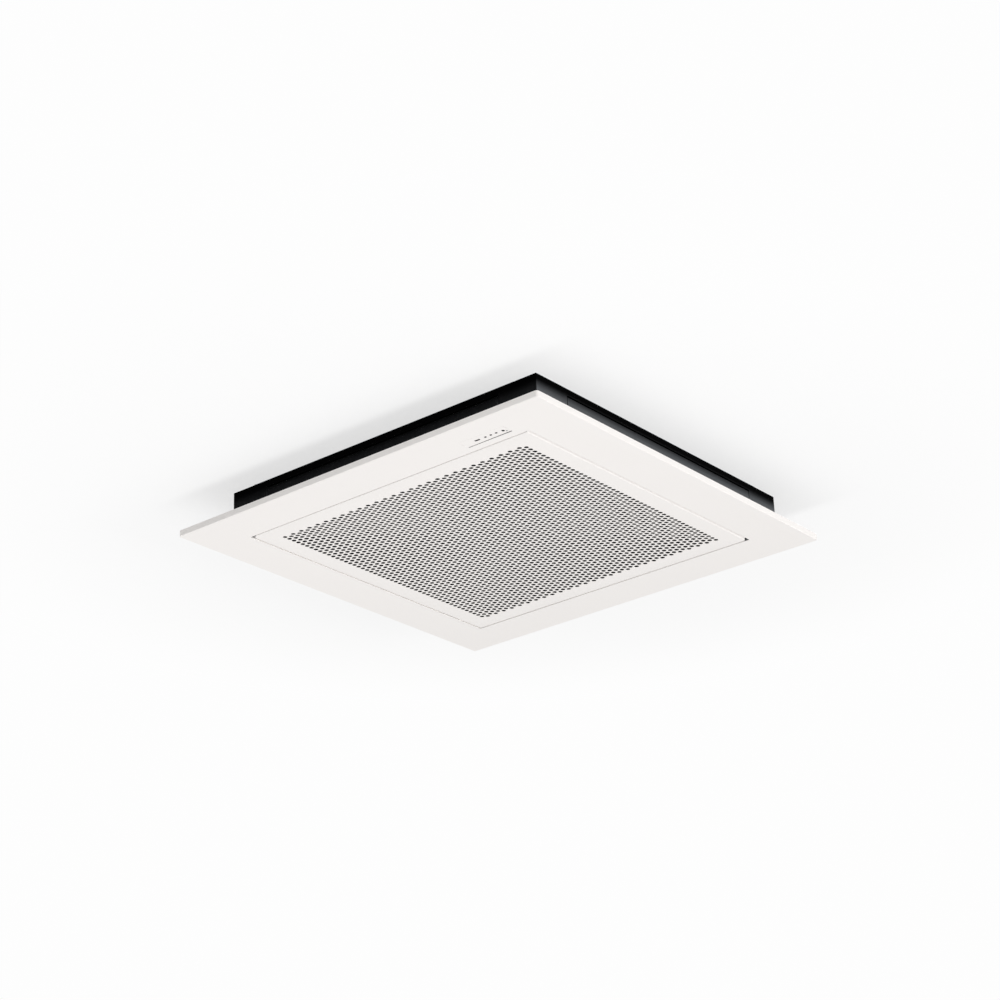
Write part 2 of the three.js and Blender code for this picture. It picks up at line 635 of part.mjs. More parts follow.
function addDrain() {
  add('drain_pan', drainPan(), FOAM_WHITE, { z: PAN_BASE });
  const { x, y, radius } = PUMP;
  const base = PAN_BASE + 16;
  const housing = roundRing([
    [9, 0], [radius, 0], [radius, 24], [radius - 3, 26], [radius - 3, 60], [3, 60], [3, 24], [9, 22],
  ], 18);
  add('drain_pump', housing, WHITE, { x, y, z: base });
  const impeller = unite(rod(2.2, 2, 40, 'z', 10), box([-6.5, 6.5], [-0.8, 0.8], [2, 12]),
    box([-0.8, 0.8], [-6.5, 6.5], [2, 12]));
  add('pump_impeller', impeller, GREY_PLASTIC, { x, y, z: base });
  const route = [[x, y, base + 60 + GAP], [x, y, DRAIN_EXIT], [half(CASING) + 6, y, DRAIN_EXIT]];
  add('drain_tube', tube(route, 7), GREY_PLASTIC);
  const spigot = spin([[0, 0], [18, 0], [18, 3], [13, 3], [13, 42], [11, 42], [11, 3.5], [0, 3.5]], 18)
    .rotate([0, 90, 0]);
  const bore = rod(7 + GAP, -1, 5, 'x');
  add('drain_spigot', cut(spigot, bore), GREY_PLASTIC, { x: half(CASING) + GAP, y, z: DRAIN_EXIT });
  const stem = rod(2.5, 0, 60, 'z', 12);
  const foot = box([-6, 6], [-6, 6], [0, 3]);
  const head = box([-12, 12], [-8, 8], [56, 62]);
  const floor = PAN_BASE + GUTTER_FLOOR + GAP;
  add('float_switch', unite(stem, foot, head), WHITE, { ...FLOAT, z: floor });
  const ball = roundRing([[3, 0], [9, 0], [11, 3], [11, 13], [9, 16], [3, 16]], 14);
  add('float_ball', ball, BLACK, { ...FLOAT, z: PAN_BASE + 22 });
}

// ---- casing -------------------------------------------------------------------------------------

const BEAD_HEIGHTS = [CASING_BASE + 34, CASING_TOP - 34];

function casingWall(openings) {
  // The front wall: folded sheet with a flange below and above, and two pressed beads.
  const face = half(CASING);
  const end = face - CHAMFER - GAP;
  const sheet = box([-end, end], [-face, -face + SHEET], [CASING_BASE, CASING_TOP - SHEET - GAP]);
  const sole = box([-end + 16, end - 16], [-face, -face + 12], [CASING_BASE, CASING_BASE + SHEET]);
  const root = -face + 0.2;
  const beads = BEAD_HEIGHTS.map((height) => slab([
    [root, height - 7], [root, height + 7], [-face - 3, height + 3], [-face - 3, height - 3],
  ], -end + 30, end - 30).rotate([90, 0, 90]));
  return cut(unite(sheet, sole, ...beads), ...openings);
}

function hangerBracket() {
  // Corner post of the front-right corner, with the ear that hangs on a threaded rod.
  const face = half(CASING);
  const start = face - CHAMFER;
  const post = [[start, -face], [face, -start], [face - 2.8, -start], [start, -face + 2.8]];
  const plate = slab(post, CASING_BASE, CASING_TOP - SHEET - GAP);
  const middle = face - half(CHAMFER);
  const ear = box([-21, 21], [-34, 1], [0, 3]);
  const slot = unite(box([-6, 6], [-36, -14], [-1, 4]), rod(6, -1, 4, 'z', 20).translate([0, -14, 0]));
  const web = slab([[0, 0], [-28, 0], [0, 34]], -1.5, 1.5).rotate([90, 0, 90]);
  const webs = mirrorPair(19.5).map((x) => web.translate([x, 0.5, 2.8]));
  const head = unite(cut(ear, slot), ...webs);
  return unite(plate, head.rotate([0, 0, 45]).translate([middle, -middle, HANGER_HEIGHT]));
}

function wallOpenings(name) {
  if (name === 'right') {
    // In the frame of the front wall, which is turned to the right side.
    return [
      box([108, 192], [-half(CASING) - 5, -half(CASING) + 5], [188, 267]),
      rod(14, -half(CASING) - 5, -half(CASING) + 5, 'y').translate([PUMP.y, 0, DRAIN_EXIT]),
    ];
  }
  if (name === 'front') return [box([-20, 20], [-half(CASING) - 5, -half(CASING) + 5], [150, 166])];
  return [];
}

function foamLiner() {
  const outer = CASING - 2 * SHEET - 2;
  const inner = outer - 2 * FOAM;
  const shell = slab(chamferedSquare(outer, CHAMFER), CASING_BASE + 2, CASING_TOP - SHEET - 2,
    [chamferedSquare(inner, CHAMFER - 4).reverse()]);
  const pipes = box([200, 300], [110, 190], [190, 265]);
  const drain = rod(13, 200, 300, 'x').translate([0, PUMP.y, DRAIN_EXIT]);
  return cut(shell, pipes, drain);
}

function addCasing() {
  SIDES.forEach(([name, turn], i) => {
    add(`casing_${name}`, casingWall(wallOpenings(name)), GALVANISED, { turn });
    add(`hanger_bracket_${i + 1}`, hangerBracket(), GALVANISED, { turn });
  });
  const lid = slab(chamferedSquare(CASING, CHAMFER), CASING_TOP - SHEET, CASING_TOP);
  const ribs = mirrorPair(200).map((y) => (
    box([-150, 150], [y - 6, y + 6], [CASING_TOP - 0.5, CASING_TOP + 2.5])
  ));
  add('top_plate', unite(lid, ...ribs), GALVANISED);
  add('foam_liner', foamLiner(), FOAM_WHITE);
}

// ---- electrics ----------------------------------------------------------------------------------

const BOX = { width: 260, low: 130, high: 232, depth: 44 };
const WAYS = 5;                  // of the terminal block

function addElectrics() {
  const back = -half(CASING) - 3.5;
  const front = back - BOX.depth;
  const side = half(BOX.width);
  const outside = box([-side, side], [front, back], [BOX.low, BOX.high]);
  const inner = side - SHEET;
  const inside = box([-inner, inner], [front - 1, back - SHEET], [BOX.low + SHEET, BOX.high - SHEET]);
  const gland = { y: (front + back) / 2, z: BOX.low + 30 };
  const hole = rod(8 + GAP, side - 5, side + 5, 'x').translate([0, gland.y, gland.z]);
  const cableWay = box([-18, 18], [back - 5, back + 5], [151, 165]);
  add('control_box', cut(outside, inside, hole, cableWay), GALVANISED);
  const lid = unite(
    box([-side - 1.5, side + 1.5], [front - GAP - SHEET, front - GAP], [BOX.low - 1.5, BOX.high + 1.5]),
    box([-side - 1.5, side + 1.5], [front - GAP - SHEET, front + 8], [BOX.high + GAP, BOX.high + 1.5]),
    box([-side - 1.5, side + 1.5], [front - GAP - SHEET, front + 8], [BOX.low - 1.5, BOX.low - GAP]),
  );
  add('control_box_lid', lid, GALVANISED);
  const board = box([-110, 40], [back - 10, back - 8.4], [BOX.low + 8, BOX.high - 8]);
  const chips = [
    box([-100, -60], [back - 30, back - 9.9], [BOX.low + 20, BOX.low + 55]),
    box([-40, -20], [back - 18, back - 9.9], [BOX.low + 30, BOX.low + 50]),
    box([0, 26], [back - 22, back - 9.9], [BOX.low + 16, BOX.low + 42]),
  ];
  add('control_board', unite(board, ...chips), GREEN_BOARD);
  const ways = [];
  for (let i = 0; i < WAYS; i += 1) {
    const start = 62 + 12 * i;
    ways.push(box([start, start + 9], [back - 24, back - 13], [BOX.low + 60, BOX.low + 84]));
  }
  const base = box([58, 120], [back - 14, back - SHEET - GAP], [BOX.low + 56, BOX.low + 88]);
  add('terminal_block', unite(base, ...ways), DARK);
  const thread = rod(8, side - 6, side + 14, 'x', 14);
  const collar = rod(12, side + GAP, side + 6, 'x', 6);
  const cap = rod(10.5, side + 5.9, side + 16, 'x', 14);
  add('cable_gland', cut(unite(thread, collar, cap), rod(4.5, side - 7, side + 17, 'x')), DARK, gland);
  const sensor = unite(box([-8, 8], [-4, 4], [-6, 0]), rod(2.5, -22, -5, 'z', 12));
  add('air_sensor', sensor, BLACK, { x: -198, y: -198, z: BAND_TOP });
}

addPanel();
addDisplay();
addOutlets();
addFan();
addHeatExchanger();
addDrain();
addCasing();
addElectrics();

const cassette = new THREE.Group();
cassette.add(unit);

export default cassette;
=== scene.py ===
# %% [markdown]
# A ceiling cassette air conditioner, seen from below as it hangs in a room.
#
# The construction is a set of separate solids that come as a fixed frame. They have the real sizes and
# the real places, so this script never moves them. It gives each of them its finish, and it builds the
# surfaces that are finer than a solid should be: the grille with its 2744 holes, the net of the filter,
# the fan, the fins of the heat exchanger, the pipes and the screws.

# %% Load the frame
import json
import math

import bmesh
import bpy
import numpy as np
from mathutils import Matrix, Vector


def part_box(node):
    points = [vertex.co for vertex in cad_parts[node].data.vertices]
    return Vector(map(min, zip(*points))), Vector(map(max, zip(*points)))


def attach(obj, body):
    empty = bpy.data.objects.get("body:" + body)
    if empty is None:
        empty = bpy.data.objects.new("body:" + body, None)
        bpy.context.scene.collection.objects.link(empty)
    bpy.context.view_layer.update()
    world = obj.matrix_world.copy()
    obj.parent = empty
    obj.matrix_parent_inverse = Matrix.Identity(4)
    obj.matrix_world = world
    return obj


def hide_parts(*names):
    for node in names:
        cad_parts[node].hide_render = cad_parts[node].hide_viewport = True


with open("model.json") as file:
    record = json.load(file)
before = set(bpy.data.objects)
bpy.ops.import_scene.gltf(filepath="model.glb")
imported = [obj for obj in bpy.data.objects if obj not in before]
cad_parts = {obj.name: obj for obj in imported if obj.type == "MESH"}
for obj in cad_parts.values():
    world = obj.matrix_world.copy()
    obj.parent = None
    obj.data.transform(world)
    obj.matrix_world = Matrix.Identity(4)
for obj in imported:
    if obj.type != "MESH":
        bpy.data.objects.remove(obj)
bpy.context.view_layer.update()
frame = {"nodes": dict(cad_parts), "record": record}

MM = 0.001
nodes = frame["nodes"]
print("solids in the frame:", len(nodes))

# %% [markdown]
# The camera comes first, because it decides which surfaces show. The rows of holes in the grille are
# straight and evenly spaced, so they tell where the lens stood: about 3.7 m away, low, and looking up at
# one corner of the panel. The place is written from the middle of the panel's face, which the frame gives.

# %% Camera
PANEL_LOW, PANEL_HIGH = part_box("fascia_frame")
PANEL_MIDDLE = (PANEL_LOW + PANEL_HIGH) / 2
PANEL_MIDDLE.z = PANEL_LOW.z
CAMERA_OFFSET = Vector((-2.7146, -2.1698, -1.4746))
YAW, PITCH, ROLL = (math.radians(angle) for angle in (38.66, 23.87, -2.20))
LENS, SENSOR = 90.8, 36           # millimetres

forward = Vector((math.cos(PITCH) * math.cos(YAW), math.cos(PITCH) * math.sin(YAW), math.sin(PITCH)))
level_right = forward.cross(Vector((0, 0, 1))).normalized()
level_up = level_right.cross(forward)
right = level_right * math.cos(ROLL) + level_up * math.sin(ROLL)
up = level_up * math.cos(ROLL) - level_right * math.sin(ROLL)
camera = bpy.data.objects.new("camera", bpy.data.cameras.new("camera"))
bpy.context.scene.collection.objects.link(camera)
aim = Matrix((right, up, -forward)).transposed().to_4x4()
camera.matrix_world = Matrix.Translation(PANEL_MIDDLE + CAMERA_OFFSET) @ aim
camera.data.sensor_width = SENSOR
camera.data.lens = LENS
camera.data.clip_end = 50
bpy.context.scene.camera = camera
bpy.context.scene.view_settings.view_transform = "Standard"
print("camera at", [round(value, 3) for value in camera.location])

# %% [markdown]
# Shader maths reads best as plain sums. A small class wraps the output of a node, so that an expression
# such as `1 - mask * 0.2` adds the Math nodes by itself. Every other node comes from one method, which
# sets what kind of node it is first and then its values or links.

# %% Shader maths
COLOUR_A, COLOUR_B, MIXED_COLOUR = 6, 7, 2    # sockets of a Mix node whose names are shared with others


class Wire:
    """A value that changes over a surface: the output socket of a node."""

    def __init__(self, finish, socket):
        self.finish = finish
        self.socket = socket

    def maths(self, operation, *values):
        return self.finish.node("ShaderNodeMath", {"operation": operation}, dict(enumerate(values)))

    def __add__(self, other):
        return self.maths("ADD", self, other)

    def __sub__(self, other):
        return self.maths("SUBTRACT", self, other)

    def __rsub__(self, other):
        return self.maths("SUBTRACT", other, self)

    def __mul__(self, other):
        return self.maths("MULTIPLY", self, other)

    def __gt__(self, other):
        return self.maths("GREATER_THAN", self, other)

    def __lt__(self, other):
        return self.maths("LESS_THAN", self, other)

    __radd__ = __add__
    __rmul__ = __mul__


class Finish:
    """A material, with short calls for its nodes. Places on the surface are in metres."""

    def __init__(self, name, colour, roughness, metallic=0.0, **uniform):
        self.material = bpy.data.materials.new(name)
        self.material.use_nodes = True
        self.tree = self.material.node_tree
        self.shader = self.tree.nodes["Principled BSDF"]
        self.place = self.node("ShaderNodeTexCoord", output="Object")
        self.set(Base_Color=(*colour, 1), Roughness=roughness, Metallic=metallic, **uniform)

    def node(self, kind, settings=None, inputs=None, output=0):
        made = self.tree.nodes.new(kind)
        for name, value in (settings or {}).items():
            if name == "stops":
                self.ramp(made.color_ramp, value)
            else:
                setattr(made, name, value)
        for name, value in (inputs or {}).items():
            self.link(made.inputs[name], value)
        return Wire(self, made.outputs[output])

    def ramp(self, ramp, stops):
        while len(ramp.elements) < len(stops):
            ramp.elements.new(0.5)
        for element, (place, grey) in zip(ramp.elements, stops):
            element.position = place
            element.color = (grey, grey, grey, 1)

    def link(self, socket, value):
        if isinstance(value, Wire):
            self.tree.links.new(value.socket, socket)
        else:
            socket.default_value = value

    def set(self, **sockets):
        for name, value in sockets.items():
            self.link(self.shader.inputs[name.replace("_", " ")], value)

    def noise(self, size, detail=2.0, stretch=(1, 1, 1)):
        """Soft noise from 0 to 1, with lumps about as large as size, in metres."""
        scale = tuple(1 / (size * along) for along in stretch)
        place = self.node("ShaderNodeMapping", None, {"Vector": self.place, "Scale": scale})
        return self.node("ShaderNodeTexNoise", None, {"Vector": place, "Scale": 1.0, "Detail": detail})

    def cells(self, size, output="Color", feature="F1", randomness=1.0):
        """Cells about as large as size: their random colour or the distance to their middles."""
        return self.node("ShaderNodeTexVoronoi", {"feature": feature},
                         {"Vector": self.place, "Scale": 1 / size, "Randomness": randomness}, output)

    def mix(self, mask, first, second):
        """first where the mask is 0, second where it is 1. Both are colours."""
        first, second = (c if isinstance(c, Wire) else (*c, 1) for c in (first, second))
        inputs = {"Factor": mask, COLOUR_A: first, COLOUR_B: second}
        return self.node("ShaderNodeMix", {"data_type": "RGBA"}, inputs, MIXED_COLOUR)

    def bump(self, height, depth, strength=1.0):
        """Raises the surface by depth metres where the height is 1."""
        inputs = {"Height": height, "Distance": depth, "Strength": strength}
        self.set(Normal=self.node("ShaderNodeBump", None, inputs))
        return self


def shade(colour, factor):
    return tuple(channel * factor for channel in colour)

# %% [markdown]
# A moulded plastic is never flat. The tool that formed it was etched or blasted, which leaves a fine
# grain, and the material flows in it, so its tone and gloss drift a little over the length of a hand.

# %% Plastics
def moulded(name, colour, roughness, grain=0.5 * MM, depth=0.02 * MM, drift=0.03, **uniform):
    finish = Finish(name, colour, roughness, **uniform)
    slow = finish.noise(90 * MM, 3)
    fast = finish.noise(grain, 2)
    finish.set(Base_Color=finish.mix(slow, shade(colour, 1 - drift), shade(colour, 1 + drift)))
    finish.set(Roughness=fast * 0.08 + (slow * 0.06 + (roughness - 0.07)))
    return finish.bump(fast, depth).material


def powder_coated(name, colour, roughness):
    """Paint that was melted on as powder: a very shallow orange peel."""
    finish = Finish(name, colour, roughness)
    peel = finish.noise(1.8 * MM, 1)
    dust = finish.noise(140 * MM, 3)
    finish.set(Base_Color=finish.mix(dust, shade(colour, 0.985), shade(colour, 1.015)))
    finish.set(Roughness=peel * 0.1 + (roughness - 0.05))
    return finish.bump(peel, 0.03 * MM).material


def band_with_painted_sheen(name, dark_colour, sheen_colour, low, high):
    """Dull dark plastic, darkest at the height high and lighter at the height low, in metres: painted
    reflected light.
    """
    finish = Finish(name, dark_colour, 0.4, Specular_IOR_Level=0.004)
    place = finish.node("ShaderNodeSeparateXYZ", None, {0: finish.place}, "Z")
    painted_sheen = finish.node("ShaderNodeMapRange", {"interpolation_type": "SMOOTHSTEP"},
                       {"Value": place, "From Min": high, "From Max": low})
    normal = finish.node("ShaderNodeNewGeometry", output="Normal")
    along_y = finish.node("ShaderNodeSeparateXYZ", None, {0: normal}, "Y")
    side = along_y.maths("ABSOLUTE", along_y) * 0.85 + 0.15       # the painted sheen shows most on the faces that look along Y, and the front lamp lights the front one
    streaks = finish.noise(1.2 * MM, 2, (60, 60, 1)) * 0.5 + 0.75
    # painted sheen: the base colour lightens towards the bottom of the band and stands in for reflected light
    finish.set(Base_Color=finish.mix(painted_sheen * side * streaks, dark_colour, sheen_colour))
    finish.set(Roughness=painted_sheen * 0.2 + 0.36)
    return finish.bump(finish.noise(0.3 * MM), 0.01 * MM).material


WHITE = (0.885, 0.855, 0.832)
NEAR_BLACK = (0.0006, 0.0006, 0.0007)
SHEEN_GREY = (0.13, 0.137, 0.145)
BAND_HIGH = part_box("outlet_frame")[1]
# heights where the band's painted sheen starts and where it is full
SHEEN_START, SHEEN_FULL = BAND_HIGH.z - 7 * MM, BAND_HIGH.z - 28 * MM
finishes = {
    "white_panel": moulded("panel_plastic", WHITE, 0.42, grain=0.4 * MM, depth=0.012 * MM, drift=0.01),
    "white_sheet": powder_coated("grille_powder_coat", WHITE, 0.42),
    "black_band": band_with_painted_sheen("band_plastic", NEAR_BLACK, SHEEN_GREY, SHEEN_FULL, SHEEN_START),
    "dark_plastic": moulded("dark_plastic", (0.022, 0.023, 0.026), 0.55, Specular_IOR_Level=0.3),
    "grey_plastic": moulded("grey_plastic", (0.27, 0.28, 0.29), 0.5),
    "pipe_plastic": moulded("pipe_plastic", (0.5, 0.51, 0.51), 0.4, grain=2 * MM),
    "white_plastic": moulded("white_plastic", (0.78, 0.78, 0.75), 0.4),
    "motor_paint": powder_coated("motor_paint", (0.025, 0.026, 0.029), 0.38),
    "smoke_lens": moulded("smoke_lens", (0.002, 0.002, 0.0024), 0.3, depth=0.002 * MM,
                          Specular_IOR_Level=0.1),
}
print("plastics and paints:", len(finishes))

# %% [markdown]
# Zinc freezes on hot steel in flat crystals a few millimetres wide. Each has its own direction, so each
# has its own grey and its own gloss. A Voronoi texture gives every cell one random colour, and one of its
# channels, read as a number, drives both.

# %% Metals
def galvanised(name):
    finish = Finish(name, (0.6, 0.62, 0.64), 0.4, metallic=1.0)
    warp = finish.noise(9 * MM, 2)
    crystal = finish.node("ShaderNodeSeparateColor", None, {"Color": finish.cells(8 * MM)})
    stain = finish.noise(120 * MM, 4)
    finish.set(Base_Color=finish.mix(crystal * 0.7 + warp * 0.3, (0.53, 0.55, 0.57), (0.64, 0.66, 0.675)))
    finish.set(Roughness=crystal * 0.12 + (stain * 0.16 + 0.34))
    return finish.bump(warp, 0.02 * MM).material


def drawn_metal(name, colour, dull, roughness, along=(40, 1, 1)):
    """A metal with fine drawing lines and patches that have dulled in the air."""
    finish = Finish(name, colour, roughness, metallic=1.0)
    lines = finish.noise(0.5 * MM, 2, along)
    patches = finish.noise(24 * MM, 4)
    mask = finish.node("ShaderNodeValToRGB", {"stops": [(0.42, 0), (0.66, 1)]}, {"Fac": patches})
    finish.set(Base_Color=finish.mix(mask, colour, dull))
    finish.set(Roughness=lines * 0.12 + (mask * 0.14 + (roughness - 0.06)))
    return finish.bump(lines, 0.01 * MM).material


finishes |= {
    "galvanised": galvanised("galvanised_sheet"),
    "steel": drawn_metal("machined_steel", (0.56, 0.57, 0.58), (0.45, 0.45, 0.45), 0.3, (1, 1, 30)),
    "copper": drawn_metal("drawn_copper", (0.8, 0.42, 0.27), (0.5, 0.27, 0.18), 0.28),
    "brass": drawn_metal("turned_brass", (0.76, 0.58, 0.28), (0.55, 0.42, 0.22), 0.26, (1, 20, 20)),
    "fins": drawn_metal("fin_aluminium", (0.78, 0.8, 0.82), (0.66, 0.68, 0.7), 0.32, (1, 1, 20)),
}

# %% [markdown]
# The insulation is moulded from beads of foam that were steamed until they stuck together. The beads stay
# visible as shallow domes about 3 mm wide. The circuit boards are green lacquer over copper tracks.

# %% Foam, boards and net
def bead_foam(name, colour):
    finish = Finish(name, colour, 0.85)
    dome = 1 - finish.cells(3.2 * MM, "Distance")
    tone = finish.node("ShaderNodeSeparateColor", None, {"Color": finish.cells(3.2 * MM)})
    finish.set(Base_Color=finish.mix(tone, shade(colour, 0.93), colour))
    return finish.bump(dome, 0.35 * MM, 0.8).material


def circuit_board(name):
    finish = Finish(name, (0.02, 0.13, 0.06), 0.35)
    tracks = finish.cells(5 * MM, "Distance", "DISTANCE_TO_EDGE", 0.35) < 0.09
    pads = finish.cells(2.6 * MM, "Distance", randomness=0.2) < 0.16
    green = finish.mix(tracks, (0.012, 0.085, 0.04), (0.03, 0.17, 0.075))
    finish.set(Base_Color=finish.mix(pads, green, (0.62, 0.6, 0.52)), Metallic=pads * 1.0)
    return finish.bump(tracks * 0.5 + pads, 0.05 * MM).material


finishes |= {
    "white_foam": bead_foam("bead_foam", (0.82, 0.82, 0.79)),
    "board": circuit_board("green_board"),
    "filter_net": moulded("filter_net", (0.012, 0.012, 0.014), 0.6, grain=1 * MM, Specular_IOR_Level=0.3),
}
print("finishes:", len(finishes))

# %% [markdown]
# Every solid of the frame names the finish it was designed with, so dressing them is one loop. A real
# edge is never perfectly sharp, and a sharp one catches no light. A Weld modifier joins the corners that
# the import left apart, a small node group shades the gentle edges smoothly, and a Bevel modifier then
# rounds every edge that turns by more. None of them touches the mesh itself.

# %% Dress the solids
def smooth_by_angle():
    """Geometry nodes that shade faces smoothly where they meet at less than SMOOTH_ANGLE."""
    group = bpy.data.node_groups.new("smooth_by_angle", "GeometryNodeTree")
    for way in ("INPUT", "OUTPUT"):
        group.interface.new_socket("Geometry", in_out=way, socket_type="NodeSocketGeometry")
    start, end = group.nodes.new("NodeGroupInput"), group.nodes.new("NodeGroupOutput")
    angle = group.nodes.new("GeometryNodeInputMeshEdgeAngle")
    gentle = group.nodes.new("FunctionNodeCompare")
    gentle.operation = "LESS_THAN"
    gentle.inputs["B"].default_value = math.radians(SMOOTH_ANGLE)
    group.links.new(angle.outputs["Unsigned Angle"], gentle.inputs["A"])
    last = start.outputs["Geometry"]
    for domain, value in (("FACE", None), ("EDGE", gentle.outputs["Result"])):
        shading = group.nodes.new("GeometryNodeSetShadeSmooth")
        shading.domain = domain
        group.links.new(last, shading.inputs["Geometry"])
        if value:
            group.links.new(value, shading.inputs["Shade Smooth"])
        last = shading.outputs["Geometry"]
    group.links.new(last, end.inputs["Geometry"])
    return group


SMOOTH_ANGLE = 31                 # degrees
smoothing = smooth_by_angle()
EDGE_ROUND = {"fascia_frame": 0.5, "outlet_frame": 0.4, "drain_pan": 1.5, "foam_liner": 1.2, "fan_motor": 0.8}
EDGE_ROUND_DEFAULT = 0.3          # millimetres, as are the others
WELD_GAP = 0.01 * MM

for row in frame["record"]["subparts"]:
    solid = nodes[row["node"]]
    solid.data.materials.clear()
    solid.data.materials.append(finishes[row["material_slot"]])
    weld = solid.modifiers.new("weld", "WELD")
    weld.merge_threshold = WELD_GAP
    smooth = solid.modifiers.new("smooth_by_angle", "NODES")
    smooth.node_group = smoothing
    bevel = solid.modifiers.new("edge_round", "BEVEL")
    bevel.width = EDGE_ROUND.get(row["node"], EDGE_ROUND_DEFAULT) * MM
    bevel.segments = 2
    bevel.limit_method = "ANGLE"
    bevel.angle_limit = math.radians(SMOOTH_ANGLE)
    bevel.harden_normals = True

# %% [markdown]
# The new pieces are built from lists of points and faces. A small class holds both, so that shapes can be
# moved, turned and added to each other before they become one mesh.

# %% Shapes
class Shape:
    """Points and faces, in metres. The methods return a new shape."""

    def __init__(self, points=(), faces=()):
        self.points = np.array(points, float).reshape(-1, 3)
        self.faces = [tuple(face) for face in faces]

    def __add__(self, other):
        start = len(self.points)
        faces = [tuple(index + start for index in face) for face in other.faces]
        return Shape(np.vstack([self.points, other.points]), self.faces + faces)

    def move(self, x=0.0, y=0.0, z=0.0):
        return Shape(self.points + (x, y, z), self.faces)

    def turn(self, degrees, axis="Z"):
        turned = self.points @ np.array(Matrix.Rotation(math.radians(degrees), 3, axis)).T
        return Shape(turned, self.faces)

    def aim(self, direction):
        """Turns the shape's own Z axis to a direction."""
        turn = Vector(direction).to_track_quat("Z", "X").to_matrix()
        return Shape(self.points @ np.array(turn).T, self.faces)


def joined(shapes):
    """Many shapes as one."""
    points, faces, start = [], [], 0
    for shape in shapes:
        points.append(shape.points)
        faces += [tuple(index + start for index in face) for face in shape.faces]
        start += len(shape.points)
    return Shape(np.vstack(points), faces)


def block(x, y, z):
    """A box from three pairs of [low, high]."""
    points = [(a, b, c) for c in z for b in y for a in x]
    faces = [(0, 2, 3, 1), (4, 5, 7, 6), (0, 1, 5, 4), (2, 6, 7, 3), (0, 4, 6, 2), (1, 3, 7, 5)]
    return Shape(points, faces)


def skin(rings, bored=False, caps=True):
    """Joins rings of points. The ends get a face each, or with bored the last ring meets the first."""
    count = len(rings[0])
    points = [point for ring in rings for point in ring]
    faces = []
    for i in range(len(rings) if bored else len(rings) - 1):
        low = i * count
        high = (i + 1) % len(rings) * count
        for j in range(count):
            k = (j + 1) % count
            faces.append((low + j, low + k, high + k, high + j))
    if caps and not bored:
        faces.append(tuple(reversed(range(count))))
        faces.append(tuple(range(len(points) - count, len(points))))
    return Shape(points, faces)


def lathe(profile, sides=64, **ends):
    """Turns a list of (radius, height) round Z."""
    turns = [2 * math.pi * i / sides for i in range(sides)]
    return skin([[(radius * math.cos(a), radius * math.sin(a), height) for a in turns]
                 for radius, height in profile], **ends)


def hexagon(radius, low, high, bore=0.0, sides=72):
    """A six-sided bar with its corners turned off at both ends, as on a nut. The radius is to the corners."""
    flat = radius * math.cos(math.pi / 6)
    end = flat * 0.97
    chamfer = [(end + (radius - end) * share, (radius - end) * 0.6 * share) for share in (0, 0.35, 0.7, 1)]
    levels = [(limit, low + rise) for limit, rise in chamfer]
    levels += [(limit, high - rise) for limit, rise in reversed(chamfer)]
    rings = []
    for limit, z in levels:
        ring = []
        for i in range(sides):
            angle = 2 * math.pi * i / sides
            reach = min(limit, flat / math.cos(angle % (math.pi / 3) - math.pi / 6))
            ring.append((reach * math.cos(angle), reach * math.sin(angle), z))
        rings.append(ring)
    if not bore:
        return skin(rings)
    turns = [2 * math.pi * i / sides for i in range(sides)]
    for z in (high, low):
        rings.append([(bore * math.cos(a), bore * math.sin(a), z) for a in turns])
    return skin(rings, bored=True)


def smooth_line(points, steps=4):
    """A Catmull-Rom curve through the points."""
    known = np.array([points[0], *points, points[-1]], float)
    line = []
    for a, b, c, d in zip(known, known[1:], known[2:], known[3:]):
        for t in np.arange(steps) / steps:
            curve = (2 * a - 5 * b + 4 * c - d) * t ** 2 + (3 * b - a - 3 * c + d) * t ** 3
            line.append(tuple((2 * b + (c - a) * t + curve) / 2))
    return [*line, tuple(points[-1])]


def sweep(path, radius, sides=16, caps=True):
    """A round bar along a list of points."""
    path = [Vector(point) for point in path]
    points = []
    normal = (path[1] - path[0]).orthogonal().normalized()
    for i, place in enumerate(path):
        ahead = (path[min(i + 1, len(path) - 1)] - path[max(i - 1, 0)]).normalized()
        normal = (normal - ahead * normal.dot(ahead)).normalized()
        across = ahead.cross(normal)
        for j in range(sides):
            angle = 2 * math.pi * j / sides
            points.append(place + (normal * math.cos(angle) + across * math.sin(angle)) * radius)
    rings = [points[i:i + sides] for i in range(0, len(points), sides)]
    return skin(rings, caps=caps)


def rounded_route(corners, radius, steps=8):
    """Points along straight runs, with a round bend of that radius at each inner corner."""
    corners = [Vector(corner) for corner in corners]
    route = [corners[0]]
    for before, corner, after in zip(corners, corners[1:], corners[2:]):
        start = corner + (before - corner).normalized() * radius
        end = corner + (after - corner).normalized() * radius
        centre = start + end - corner
        for i in range(steps + 1):
            share = i / steps * math.pi / 2
            route.append(centre + (start - centre) * math.cos(share) + (end - centre) * math.sin(share))
    route.append(corners[-1])
    return route

# %% [markdown]
# One call turns a shape into a piece of the object: it makes the mesh, marks the edges that should stay
# crisp, gives it a finish by the name of its slot, and parents it to an empty for the body it moves with.

# %% Make a piece
BEVEL_ANGLE = 40                  # degrees, from which an edge is rounded


def outward(mesh):
    """Turns the faces of closed bodies outward."""
    work = bmesh.new()
    work.from_mesh(mesh)
    bmesh.ops.recalc_face_normals(work, faces=work.faces)
    work.to_mesh(mesh)
    work.free()


def framed(shape):
    """From millimetres, counted up from the panel's face, to metres in the frame."""
    return Shape(shape.points * MM, shape.faces).move(z=PANEL_LOW.z)


